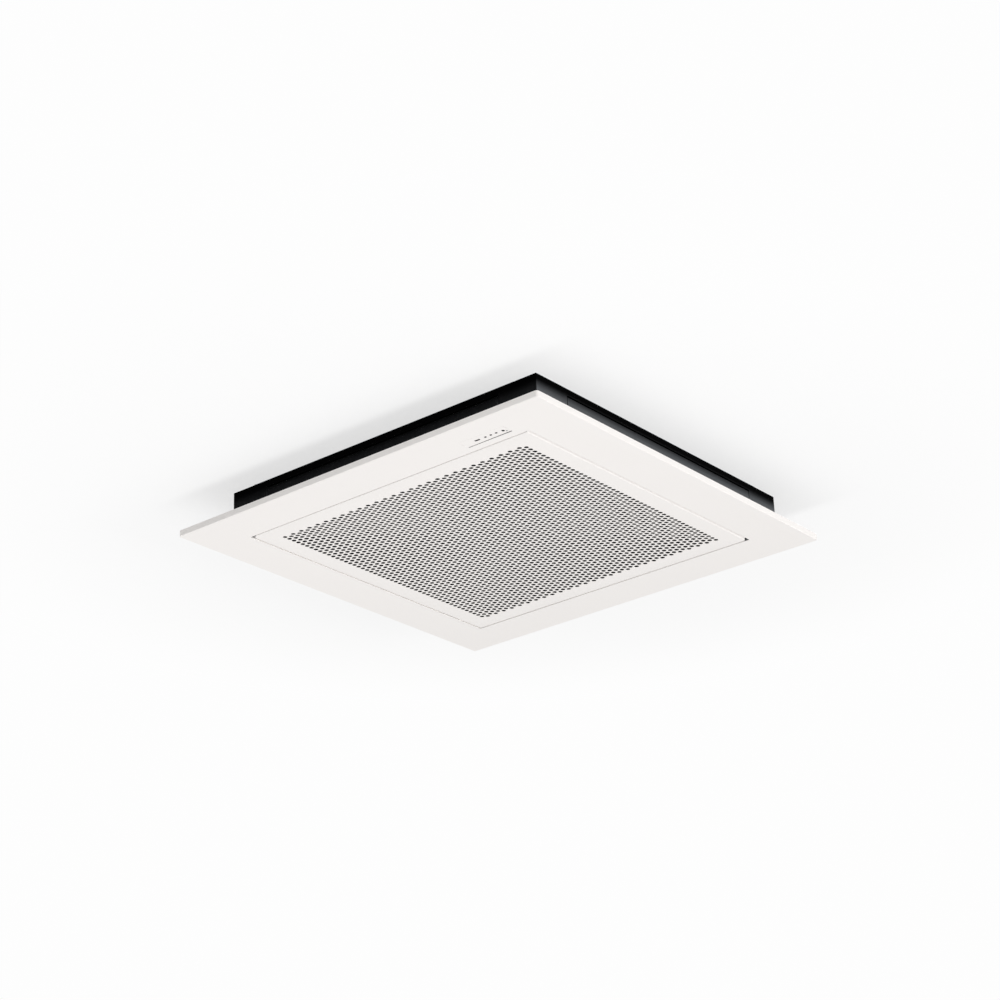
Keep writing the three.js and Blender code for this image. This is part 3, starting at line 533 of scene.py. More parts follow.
def piece(name, shape, slot, body="unit", replaces=(), crisp=35, edge=0.0, thick=0.0):
    """Edges over crisp degrees stay sharp. thick turns a surface into a sheet, behind its faces."""
    mesh = bpy.data.meshes.new(name)
    mesh.from_pydata(shape.points.tolist(), [], shape.faces)
    mesh.validate()
    if not thick:
        outward(mesh)
    made = bpy.data.objects.new(name, mesh)
    bpy.context.scene.collection.objects.link(made)
    if thick:
        sheet = made.modifiers.new("sheet", "SOLIDIFY")
        sheet.thickness = thick
        sheet.offset = -1
        sheet.use_even_offset = True
    if edge:
        bevel = made.modifiers.new("edge", "BEVEL")
        bevel.width = edge
        bevel.segments = 2
        bevel.limit_method = "ANGLE"
        bevel.angle_limit = math.radians(BEVEL_ANGLE)
    if made.modifiers:
        graph = bpy.context.evaluated_depsgraph_get()
        made.data = bpy.data.meshes.new_from_object(made.evaluated_get(graph))
        made.modifiers.clear()
        bpy.data.meshes.remove(mesh)
    made.data.shade_smooth()
    made.data.set_sharp_from_angle(angle=math.radians(crisp))
    made.data.materials.clear()
    made.data.materials.append(finishes[slot])
    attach(made, body)
    if replaces:
        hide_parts(*replaces)
    print(f"{name}: {len(made.data.polygons)} faces")
    return made

# %% [markdown]
# The intake grille is a thin steel sheet, punched with rows of round holes that are set half a pitch from
# row to row, then pressed so that the field rises a little towards its middle. Cutting the holes with
# boolean operations would be slow and would leave poor faces. Instead the field is laid out as cells, one
# for each hole: six corners outside, a ring of points inside and six faces between. Neighbouring cells
# share their corners, because each row's corners meet the middles of the next row's sides. A Solidify
# modifier then gives the sheet its thickness, and with it the walls of the holes.

# %% Perforated field
GRILLE_LOW, GRILLE_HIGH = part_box("intake_grille")
GRILLE_MIDDLE = (GRILLE_LOW + GRILLE_HIGH) / 2
GRILLE_EDGE = (GRILLE_HIGH.x - GRILLE_LOW.x) / 2
HOLE_PITCH = 9.484 * MM
HOLE_RADIUS = 3.6 * MM
ROWS, ROW_HOLES = 56, 49
ROW_STEP = 8.303 * MM
FIELD = 230 * MM                  # half side of the field
DISH = 8.1 * MM                   # rise of its middle
SHEET = 0.5 * MM
HOLE_SIDES = 12
FOLD, UPSTAND = 0.8 * MM, 8 * MM  # radius of the folded side edges, and their height
SIDE_JOINT = 1.3 * MM             # that the folded sides stand back, for a joint that shows
BEAD = 3.2 * MM                   # radius of the rolled back edge, which turns round the hinge
LIP, LIP_WIDTH = 1.6 * MM, 4.0 * MM           # radius of the front edge, and width of the slope before it
LIP_SLOPE = math.radians(36)
CURL = math.radians(290)          # how far bead and lip are rolled
RELIEF = 9 * MM                   # cut off two corners, where bead and upstand would meet
MERGE_GAP = 0.02 * MM

FIELD_COLUMNS = 2 * ROW_HOLES + 2             # corners and middles of the cells, along a row
field_x = [(i - (FIELD_COLUMNS - 1) / 2) * HOLE_PITCH / 2 for i in range(FIELD_COLUMNS)]
field_y = [(i - ROWS / 2) * ROW_STEP for i in range(ROWS + 1)]


def dish(x, y):
    share = min(1.0, max(abs(x), abs(y)) / FIELD)
    return DISH * (1 - share ** 2)


def perforated_field():
    """The field's points, row by row, and then the rings of the holes."""
    points = [(x, y, dish(x, y)) for y in field_y for x in field_x]
    faces = []
    for row in range(ROWS):
        start = row * FIELD_COLUMNS
        first = 1 - row % 2
        blank = 0 if first else FIELD_COLUMNS - 2
        corner = start + blank
        faces.append((corner, corner + 1, corner + 1 + FIELD_COLUMNS, corner + FIELD_COLUMNS))
        for hole in range(ROW_HOLES):
            k = start + first + 2 * hole
            above = k + FIELD_COLUMNS
            outline = [k + 2, above + 2, above + 1, above, k, k + 1]
            centre_x = points[k + 1][0]
            centre_y = (field_y[row] + field_y[row + 1]) / 2
            ring = len(points)
            for side in range(HOLE_SIDES):
                angle = 2 * math.pi * (side - 1) / HOLE_SIDES
                x = centre_x + HOLE_RADIUS * math.cos(angle)
                y = centre_y + HOLE_RADIUS * math.sin(angle)
                points.append((x, y, dish(x, y)))
            for i in range(6):
                inner = [ring + (2 * i + step) % HOLE_SIDES for step in range(3)]
                faces.append((outline[i], outline[(i + 1) % 6], *reversed(inner)))
    return Shape(points, faces)

# %% [markdown]
# Around the field the sheet is flat. Its left and right sides are folded up, which leaves a fine dark line.
# Its back is rolled into a bead for the hinge, and its front slopes up to a small lip, which catches the
# light. The border is a set of strips from the field's outer points to the edges. Two opposite corners are
# cut off, and the little dark triangles there show in the photograph.

# %% Grille
def strip(rows):
    """Faces between lists of points of the same length."""
    count = len(rows[0])
    points = [point for row in rows for point in row]
    faces = []
    for i in range(len(rows) - 1):
        for j in range(count - 1):
            a = i * count + j
            faces.append((a, a + 1, a + 1 + count, a + count))
    return Shape(points, faces)


def side_profile():
    """Places (x, z) from the flat border round the fold to the top of the upstand."""
    outer = GRILLE_EDGE - SIDE_JOINT
    turns = [i / 3 * math.pi / 2 for i in range(4)]
    fold = [(outer - FOLD * (1 - math.sin(a)), FOLD * (1 - math.cos(a))) for a in turns]
    return [*fold, (outer, UPSTAND)]


def back_profile():
    """Places (y, z) round the bead."""
    turns = np.linspace(0, CURL, 30)
    return [(GRILLE_EDGE - BEAD * (1 - math.sin(a)), BEAD * (1 - math.cos(a))) for a in turns]


def front_profile():
    """Places (y, z) up the slope and round the lip."""
    start = GRILLE_EDGE - LIP * (1 - math.sin(LIP_SLOPE)) - LIP_WIDTH
    top = LIP_WIDTH * math.tan(LIP_SLOPE) + LIP * math.cos(LIP_SLOPE)
    turns = np.linspace(LIP_SLOPE, CURL, 24)
    return [(start, 0), *[(GRILLE_EDGE - LIP * (1 - math.sin(a)), top - LIP * math.cos(a)) for a in turns]]


def grille_surface():
    edge_x, edge_y = field_x[-1], field_y[-1]
    side, front, back = side_profile(), front_profile(), back_profile()
    side_lines = [-front[0][0], *field_y, back[0][0]]
    outer = side[-1][0]
    end_lines = [-outer, -edge_x, *field_x[1:-1], edge_x, outer]
    shapes = [perforated_field()]
    for sign, end in ((-1, front), (1, back)):
        sides = [[(sign * x, y, z) for y in side_lines] for x, z in [(edge_x, 0), *side]]
        border = [[(x, sign * y, 0) for x in field_x] for y in (edge_y, end[0][0])]
        rolled = [[(x, sign * y, z) for x in end_lines] for y, z in end]
        shapes += [strip(sides[::sign]), strip(border[::-sign]), strip(rolled[::-sign])]
    return joined(shapes)


def trimmed(shape):
    """Corners merged, and two opposite corners cut off."""
    mesh = bmesh.new()
    made = [mesh.verts.new(point) for point in shape.points]
    for face in shape.faces:
        mesh.faces.new([made[index] for index in face])
    bmesh.ops.remove_doubles(mesh, verts=mesh.verts, dist=MERGE_GAP)
    for sign in (-1, 1):
        corner = Vector((sign * GRILLE_EDGE, -sign * GRILLE_EDGE, 0))
        diagonal = corner.normalized()
        bmesh.ops.bisect_plane(mesh, geom=mesh.verts[:] + mesh.edges[:] + mesh.faces[:],
                               plane_co=corner - diagonal * RELIEF / math.sqrt(2), plane_no=diagonal,
                               clear_outer=True)
    bmesh.ops.recalc_face_normals(mesh, faces=mesh.faces)
    mesh.verts.index_update()
    faces = [[corner.index for corner in face.verts] for face in mesh.faces]
    if sum(face.normal.z * face.calc_area() for face in mesh.faces) > 0:
        faces = [face[::-1] for face in faces]
    result = Shape([vertex.co for vertex in mesh.verts], faces)
    mesh.free()
    return result


grille = trimmed(grille_surface()).move(GRILLE_MIDDLE.x, GRILLE_MIDDLE.y, GRILLE_LOW.z)
piece("grille_sheet", grille, "white_sheet", "grille", ["intake_grille"], thick=SHEET)
print("holes:", ROWS * ROW_HOLES)

# %% [markdown]
# In the cut-off corners a dark pad sits in the panel, as painted shade for the gap there. The grille closes
# against it.

# %% Corner shade pads
def prism(outline, low, high):
    """A flat outline of (x, y), drawn up from one height to another."""
    return skin([[(x, y, z) for x, y in outline] for z in (low, high)])


PAD_EDGE, PAD_TOP = 265.2, 7.8          # its outer sides, just inside the panel's opening, and its top


def corner_shade_pad(width, low):
    inner = PAD_EDGE - width
    return prism([(PAD_EDGE, -PAD_EDGE), (PAD_EDGE, -inner), (inner, -PAD_EDGE)], low, PAD_TOP)


# The one by the hinge is smaller, because the corner of the opening grille comes past it.
shade_pads = corner_shade_pad(7.8, 0.3) + corner_shade_pad(5.8, 1.7).turn(180)
shade_pads = framed(shade_pads).move(PANEL_MIDDLE.x, PANEL_MIDDLE.y)
# the pads are dark as painted shade
piece("corner_shade_pads", shade_pads, "dark_plastic", edge=0.3 * MM)

# %% [markdown]
# Four small clips behind the field carry the filter. Each has a foot that is fixed to the sheet, a rest that
# holds the filter's frame above it, and a stop outside the frame. Their dark colour is painted shade, so that
# they don't show through the holes, and they swing with the grille.

# %% Filter rests
SHEET_BACK, REST_TOP, STOP_TOP = 0.6, 11.7, 15
REST_START, STOP_START = 231, 239.8           # from the middle of the grille
CLIP_WIDTH, CLIP_SHEET, CLIP_PLACE = 20, 2, 150


def filter_rest():
    width = [-CLIP_WIDTH / 2, CLIP_WIDTH / 2]
    foot = block([STOP_START - 5.8, STOP_START + 6.2], width, [SHEET_BACK, SHEET_BACK + CLIP_SHEET])
    stop = block([STOP_START, STOP_START + 2.4], width, [SHEET_BACK, STOP_TOP])
    rest = block([REST_START, STOP_START + 0.1], width, [REST_TOP - CLIP_SHEET, REST_TOP])
    leg = block([REST_START + 2, REST_START + 4.4], [-8, 8], [SHEET_BACK, REST_TOP - 1.9])
    return foot + stop + rest + leg


rests = [filter_rest().move(y=along).turn(turn) for turn in (0, 180) for along in (-CLIP_PLACE, CLIP_PLACE)]
rests = joined(rests)
rests = framed(rests).move(PANEL_MIDDLE.x, PANEL_MIDDLE.y)
# dark as painted shade behind the grille
piece("filter_rests", rests, "dark_plastic", "grille", edge=0.5 * MM)

# %% [markdown]
# The filter is a coarse net of plastic strands, welded where they cross. Two layers of straight bars look
# the same as a woven net from a step away and need few faces.

# %% Filter net
NET_LOW, NET_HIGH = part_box("filter_mesh")
STRAND, MESH_PITCH = 0.45 * MM, 2.0 * MM
SUNK = 0.03 * MM                  # how deep one layer sinks into the other


def net():
    span = [NET_LOW.x, NET_HIGH.x]
    depth = [NET_LOW.y, NET_HIGH.y]
    middle = (NET_LOW.z + NET_HIGH.z) / 2
    count = int((span[1] - span[0]) / MESH_PITCH)
    bars = []
    for i in range(count + 1):
        step = i * (span[1] - span[0] - STRAND) / count
        across = [span[0] + step, span[0] + step + STRAND]
        along = [depth[0] + step, depth[0] + step + STRAND]
        bars.append(block(across, depth, [middle - STRAND, middle]))
        bars.append(block(span, along, [middle - SUNK, middle + STRAND]))
    return joined(bars)


piece("filter_net", net(), "filter_net", "filter", ["filter_mesh"])

# %% [markdown]
# Behind the filter the air goes up through the bell mouth into the fan. The bell mouth is a flat sheet
# whose middle is drawn into a funnel, so it is one surface: square outside, round inside.

# %% Bell mouth
MOUTH_EDGE, MOUTH_LEVEL = 219, 70.3       # half side of its sheet, and the height of its underside
THROAT, THROAT_TOP = 105, 64              # radius, and height above the sheet
FLARE_WIDTH, FLARE_HEIGHT = 42, 52
RIB_DEPTH = 1.2                           # of the round rib that stiffens the sheet


def bell_mouth(sides=96):
    flare = [(THROAT + FLARE_WIDTH * (1 - math.sin(a)), FLARE_HEIGHT * (1 - math.cos(a)))
             for a in np.radians(np.linspace(90, 0, 13))]
    rib = [(160, 0), (162, -RIB_DEPTH), (172, -RIB_DEPTH), (174, 0), (196, 0)]
    rings = []
    for radius, height in [(THROAT, THROAT_TOP), *flare, *rib]:
        rings.append([(radius * math.cos(a), radius * math.sin(a), MOUTH_LEVEL + height)
                      for a in np.linspace(0, 2 * math.pi, sides, endpoint=False)])
    square_ring = []
    for x, y, z in rings[-1]:
        scale = MOUTH_EDGE / max(abs(x), abs(y))
        square_ring.append((x * scale, y * scale, z))
    surface = skin([*rings, square_ring], caps=False)
    return Shape(surface.points, [face[::-1] for face in surface.faces])


piece("bell_mouth_sheet", framed(bell_mouth()), "grey_plastic", replaces=["bell_mouth"], thick=2.2 * MM)

# %% [markdown]
# The fan is a radial one: a cone that hides the motor, seven blades that lean back, and a shroud that
# takes the air from the bell mouth. Cone and shroud are turned outlines. A blade is a skin over four-sided
# slices, thin at both ends, and each slice reaches from the shroud to the back plate.

# %% Fan
BLADES = 7
FAN_RIM = 152
BACK_PLATE_LOW, BACK_PLATE_HIGH = 285, 288
HUB_BORE = 5.6
BLADE_START, BLADE_END = 92, 151.52       # radii, as are FAN_RIM and HUB_BORE
BLADE_LEAN = 0.8227                       # radians that the outer edge is behind the inner one


def blade():
    """Its underside rises along the inside of the shroud, whose heights are given at four radii."""
    rings = []
    top = BACK_PLATE_LOW + 2
    for share in np.linspace(0, 1, 17):
        radius = BLADE_START + (BLADE_END - BLADE_START) * share
        lean = -BLADE_LEAN * share ** 0.8
        half_thickness = 0.25 + 1.05 * (1 - (2 * share - 1) ** 4)
        low = np.interp(radius, [84, 114, 124.5, BLADE_END], [200, 152, 163.4, 172.8])
        ring = []
        for side, z in ((1, low), (-1, low), (-1, top), (1, top)):
            angle = lean + side * half_thickness / radius
            ring.append((radius * math.cos(angle), radius * math.sin(angle), z))
        rings.append(ring)
    return skin(rings)


hub_front = smooth_line([(64, 203), (69.5, 204.8), (72.2, 210), (75, 236), (78.4, 262), (83, 277), (94, 285)])
hub_back = smooth_line([(91, 288), (80, 279), (75.4, 264), (72, 237), (69, 212), (66.6, 207.6), (62, 206)])
rim = [(FAN_RIM, BACK_PLATE_LOW), (FAN_RIM, BACK_PLATE_HIGH)]
hub = lathe([(HUB_BORE, 203), *hub_front, *rim, *hub_back, (HUB_BORE, 206)], 96, bored=True)
collar = [(HUB_BORE, 196.6), (HUB_BORE + 0.6, 196), (13, 196), (14, 197), (14, 203.5), (HUB_BORE, 203.5)]
shroud_air = smooth_line([(114.4, 138), (116, 150), (125, 162), (137, 167.9), (FAN_RIM, 171.5)])
shroud_back = smooth_line([(FAN_RIM, 174), (137, 170.3), (124, 164.6), (113.6, 151), (112, 138)])
shroud = lathe([*shroud_air, *shroud_back], 96, bored=True)
hub_rib = block([12, 60], [-1, 1], [199.5, 203.4])
turns = [360 * i / BLADES for i in range(BLADES)]
blades = [blade().turn(turn) for turn in turns]
hub_ribs = [hub_rib.turn(turn) for turn in turns]
fan = joined([hub, lathe(collar, 48, bored=True), shroud, *blades, *hub_ribs])
piece("fan_wheel", framed(fan), "dark_plastic", "fan", ["turbo_fan"], edge=0.3 * MM)

shaft = lathe([(3.8, 186), (5, 187.2), (5, 206.3), (19.6, 206.3), (20, 206.7), (20, 208.6), (19.6, 209),
               (5, 209), (5, 216)], 48)
piece("fan_shaft", framed(shaft), "steel", "fan", ["motor_shaft"], crisp=28)
piece("fan_nut", framed(hexagon(10, 188, 195.6, bore=5.4)), "steel", "fan", ["hub_nut"], crisp=20)

# %% [markdown]
# The heat exchanger is a stack of thin aluminium fins on copper tubes, bent round the fan. From a step away
# the fins are what shows, so each is a real plate, set across the coil's path, and they spread at the bends.

# %% Coil
COIL_LOW, COIL_HIGH = 91.4, 300
COIL_PATH, COIL_BEND, COIL_END = 205, 40, 130      # half side of its middle line, bend radius, and its end
FIN_PITCH, FIN_HALF, FIN_SHEET = 2.0, 19.7, 0.3


def coil_path():
    """Places and directions (x, y, degrees), one fin pitch apart, along the coil's middle line."""
    straight = COIL_PATH - COIL_BEND
    corners = [(straight, -straight, 0), (-straight, -straight, -90), (-straight, straight, -180)]
    stops = []
    place, heading = (COIL_PATH, COIL_END), -90
    for corner_x, corner_y, start in [*corners, (None, None, None)]:
        way = (round(math.cos(math.radians(heading))), round(math.sin(math.radians(heading))))
        if corner_x is None:
            length = abs(COIL_END - place[0])
        else:
            length = abs((corner_y - place[1]) if way[0] == 0 else (corner_x - place[0]))
        for i in range(int(length / FIN_PITCH)):
            run = (i + 0.5) * FIN_PITCH
            stops.append((place[0] + way[0] * run, place[1] + way[1] * run, heading))
        if corner_x is None:
            break
        count = int(COIL_BEND * math.pi / 2 / FIN_PITCH)
        for i in range(count):
            turn = (i + 0.5) * 90 / count
            angle = math.radians(start - turn)
            stops.append((corner_x + COIL_BEND * math.cos(angle), corner_y + COIL_BEND * math.sin(angle),
                          heading - turn))
        heading -= 90
        angle = math.radians(start - 90)
        place = (corner_x + COIL_BEND * math.cos(angle), corner_y + COIL_BEND * math.sin(angle))
    return stops


half_sheet = FIN_SHEET / 2
fin = block([-half_sheet, half_sheet], [-FIN_HALF, FIN_HALF], [COIL_LOW, COIL_HIGH])
fins = [fin.turn(heading).move(x, y) for x, y, heading in coil_path()]
piece("coil_fins", framed(joined(fins)), "fins", replaces=["coil"])
print("fins:", len(fins))

# %% [markdown]
# A galvanised plate closes each end of the coil. The tubes come out through it and turn back in pairs.

# %% Coil ends
TUBE_RADIUS, RETURN_RADIUS, RETURN_REACH = 3.2, 6.3, 10.3
LEVELS, LEVEL_START, LEVEL_STEP = 10, COIL_LOW + 13, 20
TUBE_ROWS = ((-9, 0), (9, 3))             # places across the coil, and how far each row is raised
PLATE_SHEET, PLATE_FLANGE = 1.5, 8
PLATE_BACK, PLATE_FACE = COIL_END + 0.3, COIL_END + 0.3 + PLATE_SHEET
PLATE_LOW, PLATE_HIGH = 181, 229


def return_bend():
    """Half a turn of tube in the plane of Y and Z, on the face of its plate at y = 0."""
    root = RETURN_REACH - RETURN_RADIUS - TUBE_RADIUS             # length of the straight part
    turn = np.radians(np.linspace(0, 180, 13))
    bend = [(0, root + RETURN_RADIUS * math.sin(a), RETURN_RADIUS * math.cos(a)) for a in turn]
    behind = PLATE_BACK - PLATE_FACE - 0.1
    return sweep([(0, behind, RETURN_RADIUS), *bend, (0, behind, -RETURN_RADIUS)], TUBE_RADIUS, 12)


def other_end(shape):
    """The same at the coil's back end, which mirrors the right one."""
    return Shape(shape.points[:, [1, 0, 2]], shape.faces)


def rolled_collar():
    """The plate's edge round a tube."""
    profile = [(TUBE_RADIUS, 0), (5, 0), (4.2, 0.9), (TUBE_RADIUS, 0.9)]
    return lathe(profile, 24, bored=True).turn(-90, "X")


seats = [(COIL_PATH + row, LEVEL_START + LEVEL_STEP * level + lift)
         for level in range(LEVELS) for row, lift in TUBE_ROWS]
bends = joined([return_bend().move(x, PLATE_FACE - 0.3, z) for x, z in seats])
collars = [rolled_collar().move(x, PLATE_FACE, z + rise)
           for x, z in seats for rise in (-RETURN_RADIUS, RETURN_RADIUS)]
coil_height = [COIL_LOW, COIL_HIGH]
end_plate = block([PLATE_LOW, PLATE_HIGH], [PLATE_BACK, PLATE_FACE], coil_height)
flange_depth = [PLATE_BACK + 0.1, COIL_END + PLATE_FLANGE]
end_plate += block([PLATE_HIGH - PLATE_SHEET, PLATE_HIGH], flange_depth, coil_height)
plates = joined([end_plate, *collars])
piece("coil_end_plates", framed(plates + other_end(plates)), "galvanised",
      replaces=["coil_end_plate_right", "coil_end_plate_back"])
piece("return_bends", framed(bends + other_end(bends)), "copper")

# %% [markdown]
# The two refrigerant pipes and the drain tube are round bars swept along straight runs and round bends.
# The pipes end in flare nuts, six-sided with a neck, and the drain in a spigot with three barbs for a hose.

# %% Pipes
PIPE_START, PIPE_END, PIPE_Y = 107.4, 322, 150                    # lowest point, end, and place across
PIPES = [("gas", 212, 205, 6.35, 12), ("liquid", 190, 248, 3.2, 8.5)]     # x, height, radius, nut
WALL = 285.3                      # seat of the pipe plate and of the spigot's flange, on the casing's right


def flare_nut(radius, bore):
    neck = radius * 0.8
    neck_line = [(bore, -26), (neck - 0.6, -26), (neck, -25.4), (neck, -17), (bore, -17)]
    return hexagon(radius, -18, 0, bore) + lathe(neck_line, bored=True)


for name, x, height, radius, nut in PIPES:
    route = [(x, PIPE_Y, PIPE_START), (x, PIPE_Y, height), (PIPE_END, PIPE_Y, height)]
    pipe = sweep(rounded_route(route, radius * 4, 12), radius, 32)
    piece(f"{name}_line", framed(pipe), "copper", replaces=[f"{name}_pipe"])
    turned_nut = flare_nut(nut, radius + 0.4).turn(90, "Y").move(PIPE_END + 2, PIPE_Y, height)
    piece(f"{name}_union_nut", framed(turned_nut), "brass", replaces=[f"{name}_flare_nut"], crisp=20)

DRAIN_PLACE, DRAIN_LEVEL = 218, 254
DRAIN_START, DRAIN_END, DRAIN_RADIUS = 149.4, 291, 7
route = [(DRAIN_PLACE, DRAIN_PLACE, DRAIN_START), (DRAIN_PLACE, DRAIN_PLACE, DRAIN_LEVEL),
         (DRAIN_END, DRAIN_PLACE, DRAIN_LEVEL)]
drain = sweep(rounded_route(route, DRAIN_RADIUS * 4, 12), DRAIN_RADIUS, 32)
piece("drain_line", framed(drain), "pipe_plastic", replaces=["drain_tube"])

SPIGOT, SPIGOT_BORE, BARB = 11.6, 9.4, 12.9   # radii
BARBS = [place for start in (10, 19, 28) for place in ((SPIGOT, start), (BARB, start + 5))]
flange_line = [(7.3, 0), (17.4, 0), (18, 0.6), (18, 2.4), (17.4, 3), (SPIGOT, 3)]
tip_line = [(SPIGOT, 37), (11.2, 42), (SPIGOT_BORE, 42), (SPIGOT_BORE, 3.5), (7.3, 3.5)]
spigot = lathe([*flange_line, *BARBS, *tip_line], 64, bored=True)
spigot = spigot.turn(90, "Y").move(WALL, DRAIN_PLACE, DRAIN_LEVEL)
piece("drain_outlet", framed(spigot), "pipe_plastic", replaces=["drain_spigot"], crisp=25)

# %% [markdown]
# The cable gland is a threaded sleeve with a six-sided collar and a domed cap with grips, bored for a cable.

# %% Cable gland
GLAND_SEAT = (130, -310.5, 160)
CABLE, GRIPS = 4.5, 24                    # radius of the bore, and how many grips
cap_line = [(CABLE, 5.9), (10.5, 6.2), (10.5, 11.5), (9.6, 14), (7.6, 15.6), (CABLE, 16)]
sleeve_line = [(CABLE, -6), (7.4, -6), (8, -5.4), (8, 0.5), (CABLE, 0.5)]
grip = block([9.9, 10.9], [-0.8, 0.8], [6.6, 11.6])
grips = joined([grip.turn(360 / GRIPS * i) for i in range(GRIPS)])
sleeve, cap = lathe(sleeve_line, 48, bored=True), lathe(cap_line, 64, bored=True)
gland = joined([sleeve, hexagon(12, 0.3, 6, CABLE), cap, grips]).turn(90, "Y").move(*GLAND_SEAT)
piece("gland", framed(gland), "dark_plastic", replaces=["cable_gland"], crisp=28)

# %% [markdown]
# Sheet metal is held by hex screws with a washer rolled onto their heads. One screw is made once, then set
# on every seat: a point on the sheet and the direction that the sheet faces there.

# %% Screws
CASING_FACE, CASING_TOP, LID_FACE = 285, 316, -334
POST_FACE = 374.77                # distance of the corner posts' outer faces from the middle
MOTOR_BOLT_CIRCLE, FLANGE_CIRCLE = 66, 15.4   # radii


def screw(radius):
    """The radius is to the corners of its head."""
    washer = lathe([(radius * 1.5, -0.2), (radius * 1.5, 0.5), (radius * 1.12, 1.0)], 36)
    head = hexagon(radius, 0.9, 0.9 + radius * 0.8, sides=36)
    tip = lathe([(radius * 0.5, 0.9 + radius * 0.7), (radius * 0.35, 1.05 + radius * 0.8)], 24)
    return washer + head + tip


def screws(seats, facing, radius=3.4):
    return joined([screw(radius).aim(facing).move(*seat) for seat in seats])


def round_the_casing(shape):
    return joined([shape.turn(turn) for turn in (0, 90, 180, 270)])


def motor_bolt():
    bolt = hexagon(7.5, CASING_TOP + 1.2, CASING_TOP + 6)
    washer = lathe([(11, CASING_TOP - 0.1), (11, CASING_TOP + 1.3)], 48)
    return (bolt + washer).move(MOTOR_BOLT_CIRCLE)


SIDES = (-1, 1)
wall = screws([(side * 233, -CASING_FACE, height) for side in SIDES for height in (92, 158, 297)], (0, -1, 0))
top = screws([(side * 120, -CASING_FACE + 9, CASING_TOP) for side in SIDES], (0, 0, 1))
post = screws([(POST_FACE, side * 15, height) for side in SIDES for height in (92, 170, 296)], (1, 0, 0))
lid = screws([(side * 121, LID_FACE, height) for side in SIDES for height in (139, 223)], (0, -1, 0))
pipe_seats = [(WALL + 1.2, PIPE_Y + side * 42.4, height) for side in SIDES for height in (187.6, 267.4)]
pipe_plate = screws(pipe_seats, (1, 0, 0), 2)
offset = FLANGE_CIRCLE * math.sin(math.pi / 4)
flange_seats = [(WALL + 3, DRAIN_PLACE + y * offset, DRAIN_LEVEL + z * offset) for y in SIDES for z in SIDES]
flange = screws(flange_seats, (1, 0, 0), 1.6)
bolts = joined([motor_bolt().turn(turn) for turn in (0, 120, 240)])
casing_screws = joined([round_the_casing(wall + top + post.turn(45)), bolts, lid, pipe_plate, flange])
piece("casing_screws", framed(casing_screws), "steel", crisp=25)

mouth_seats = [(side * 209, along, MOUTH_LEVEL) for side in SIDES for along in (-110, 110)]
mouth_screws = screws(mouth_seats, (0, 0, -1), 3)
piece("bell_mouth_screws", framed(mouth_screws + mouth_screws.turn(90)), "steel", crisp=25)

# %% [markdown]
# The stage is a ceiling, a floor and soft lamps. The ceiling is a square ring that starts at the black
# band. It can only be seen from below: a face that turns its back to the ray lets it through, so that a
# view from above still shows the whole unit. Near the unit it is plain paint, which takes the unit's
# shadow. Further out, where a real room would be lit by more lamps, it turns into a white background, but
# only for rays that come from the camera or off a glossy surface, so it throws no light on the unit.

# %% Ceiling and floor
CEILING_REACH = 5.0
FLOOR_REACH, FLOOR_DROP = 60.0, 2.45          # half side of the floor, and its distance from the ceiling
BACKGROUND = 0.985


def backdrop(name, points, faces, material):
    mesh = bpy.data.meshes.new(name)
    mesh.from_pydata(points, [], faces)
    mesh.materials.append(material)
    made = bpy.data.objects.new(name, mesh)
    bpy.context.scene.collection.objects.link(made)
    return made


def square(reach, z):
    return [(-reach, -reach, z), (reach, -reach, z), (reach, reach, z), (-reach, reach, z)]


def one_sided(finish, surface, hidden=0.0):
    """Lets a ray through where hidden is 1 and on the back of the face."""
    glass = finish.node("ShaderNodeBsdfTransparent")
    back = finish.node("ShaderNodeNewGeometry", output="Backfacing")
    hidden = back.maths("MAXIMUM", back, hidden)
    mixed = finish.node("ShaderNodeMixShader", None, {0: hidden, 1: surface, 2: glass})
    finish.link(finish.tree.nodes["Material Output"].inputs["Surface"], mixed)
    return finish.material


def background(finish, seen, bounced, near, far, lift):
    """Paint that turns white from near to far, and by lift everywhere. Diffuse rays see the grey bounced."""
    diffuse = finish.node("ShaderNodeLightPath", output="Is Diffuse Ray")
    finish.set(Base_Color=finish.mix(diffuse, (seen,) * 3, (bounced,) * 3))
    reach = finish.node("ShaderNodeVectorMath", {"operation": "LENGTH"}, {0: finish.place}, "Value")
    share = finish.node("ShaderNodeMapRange", {"interpolation_type": "SMOOTHSTEP"},
                        {"Value": reach, "From Min": near, "From Max": far})
    white = finish.node("ShaderNodeEmission", None, {"Color": (1, 1, 1, 1), "Strength": BACKGROUND})
    paint = Wire(finish, finish.shader.outputs[0])
    share = (share * (1 - lift) + lift) * (1 - diffuse)
    return finish.node("ShaderNodeMixShader", None, {0: share, 1: paint, 2: white}), diffuse


CEILING_Z = BAND_HIGH.z + 0.2 * MM
FLOOR_Z = CEILING_Z - FLOOR_DROP
CEILING_GREY, CEILING_BOUNCE, FLOOR_GREY = 0.96, 0.62, 0.86

paint = Finish("ceiling_paint", (CEILING_GREY,) * 3, 0.9)
surface, diffuse = background(paint, CEILING_GREY, CEILING_BOUNCE, near=0.5, far=0.95, lift=0.66)
corners = square(BAND_HIGH.x + 0.3 * MM, CEILING_Z) + square(CEILING_REACH, CEILING_Z)
ring_faces = [(i, (i + 1) % 4, (i + 1) % 4 + 4, i + 4) for i in range(4)]
backdrop("ceiling", corners, ring_faces, one_sided(paint, surface))

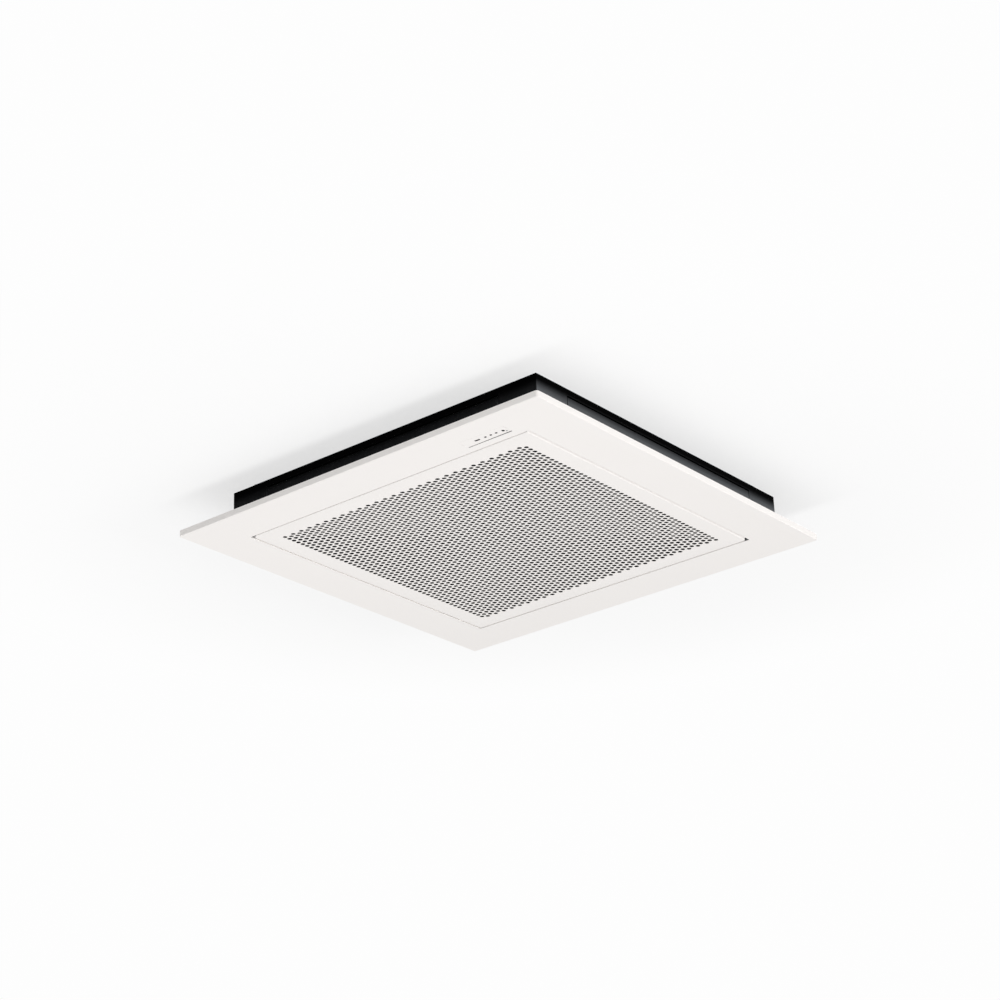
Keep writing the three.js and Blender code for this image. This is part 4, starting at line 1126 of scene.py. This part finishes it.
paint = Finish("pale_floor", (FLOOR_GREY,) * 3, 0.9)
surface, diffuse = background(paint, FLOOR_GREY, FLOOR_GREY, near=2.6, far=4.5, lift=0.3)
backdrop("floor", square(FLOOR_REACH, FLOOR_Z), [(0, 1, 2, 3)], one_sided(paint, surface, diffuse))
print("ceiling at", round(CEILING_Z, 4), "floor at", round(FLOOR_Z, 3))

# %% [markdown]
# The shadow on the ceiling is sharp along two sides of the unit and soft along the other two, so the light
# that throws it is long and narrow, like a row of tubes, and runs along the soft direction. A low lamp in
# front brightens the panel's rolled edge. Much of the rest is the even light of the world, which the camera
# and reflections see as plain white. Two lamps above the ceiling only serve the views from above.

# %% Light
WORLD_LIGHT = 0.52

world = bpy.data.worlds.new("world")
bpy.context.scene.world = world
world.use_nodes = True
sky = world.node_tree.nodes["Background"]
rays = world.node_tree.nodes.new("ShaderNodeLightPath")


def world_maths(operation, first, second):
    made = world.node_tree.nodes.new("ShaderNodeMath")
    made.operation = operation
    for socket, value in zip(made.inputs, (first, second)):
        if isinstance(value, float):
            socket.default_value = value
        else:
            world.node_tree.links.new(value, socket)
    return made.outputs[0]


seen = world_maths("MAXIMUM", rays.outputs["Is Camera Ray"], rays.outputs["Is Glossy Ray"])
seen = world_maths("MAXIMUM", seen, rays.outputs["Is Transmission Ray"])
strength = world_maths("ADD", world_maths("MULTIPLY", seen, 1 - WORLD_LIGHT), WORLD_LIGHT)
world.node_tree.links.new(strength, sky.inputs["Strength"])
sky.inputs["Color"].default_value = (1, 1, 1, 1)


def lamp(name, place, target, size, power):
    light = bpy.data.lights.new(name, "AREA")
    light.shape = "RECTANGLE"
    light.size, light.size_y = size
    light.energy = power
    made = bpy.data.objects.new(name, light)
    bpy.context.scene.collection.objects.link(made)
    made.location = place
    made.rotation_euler = (Vector(target) - Vector(place)).to_track_quat("-Z", "Y").to_euler()
    made.visible_camera = False
    return made


lamp("row_of_tubes", (-0.7, 0, -2.6), (-0.7, 0, 0), (0.7, 6.2), 38)
lamp("window_front", (0.3, -4.2, -1.4), PANEL_MIDDLE, (2.4, 1.6), 70)
lamp("key_above", (-1.8, -2.6, 3.0), (0, 0, 0), (3.2, 3.2), 34)
lamp("rim_above", (2.6, 2.0, 2.0), (0, 0, 0), (2.4, 2.4), 18)
print("world light:", WORLD_LIGHT)
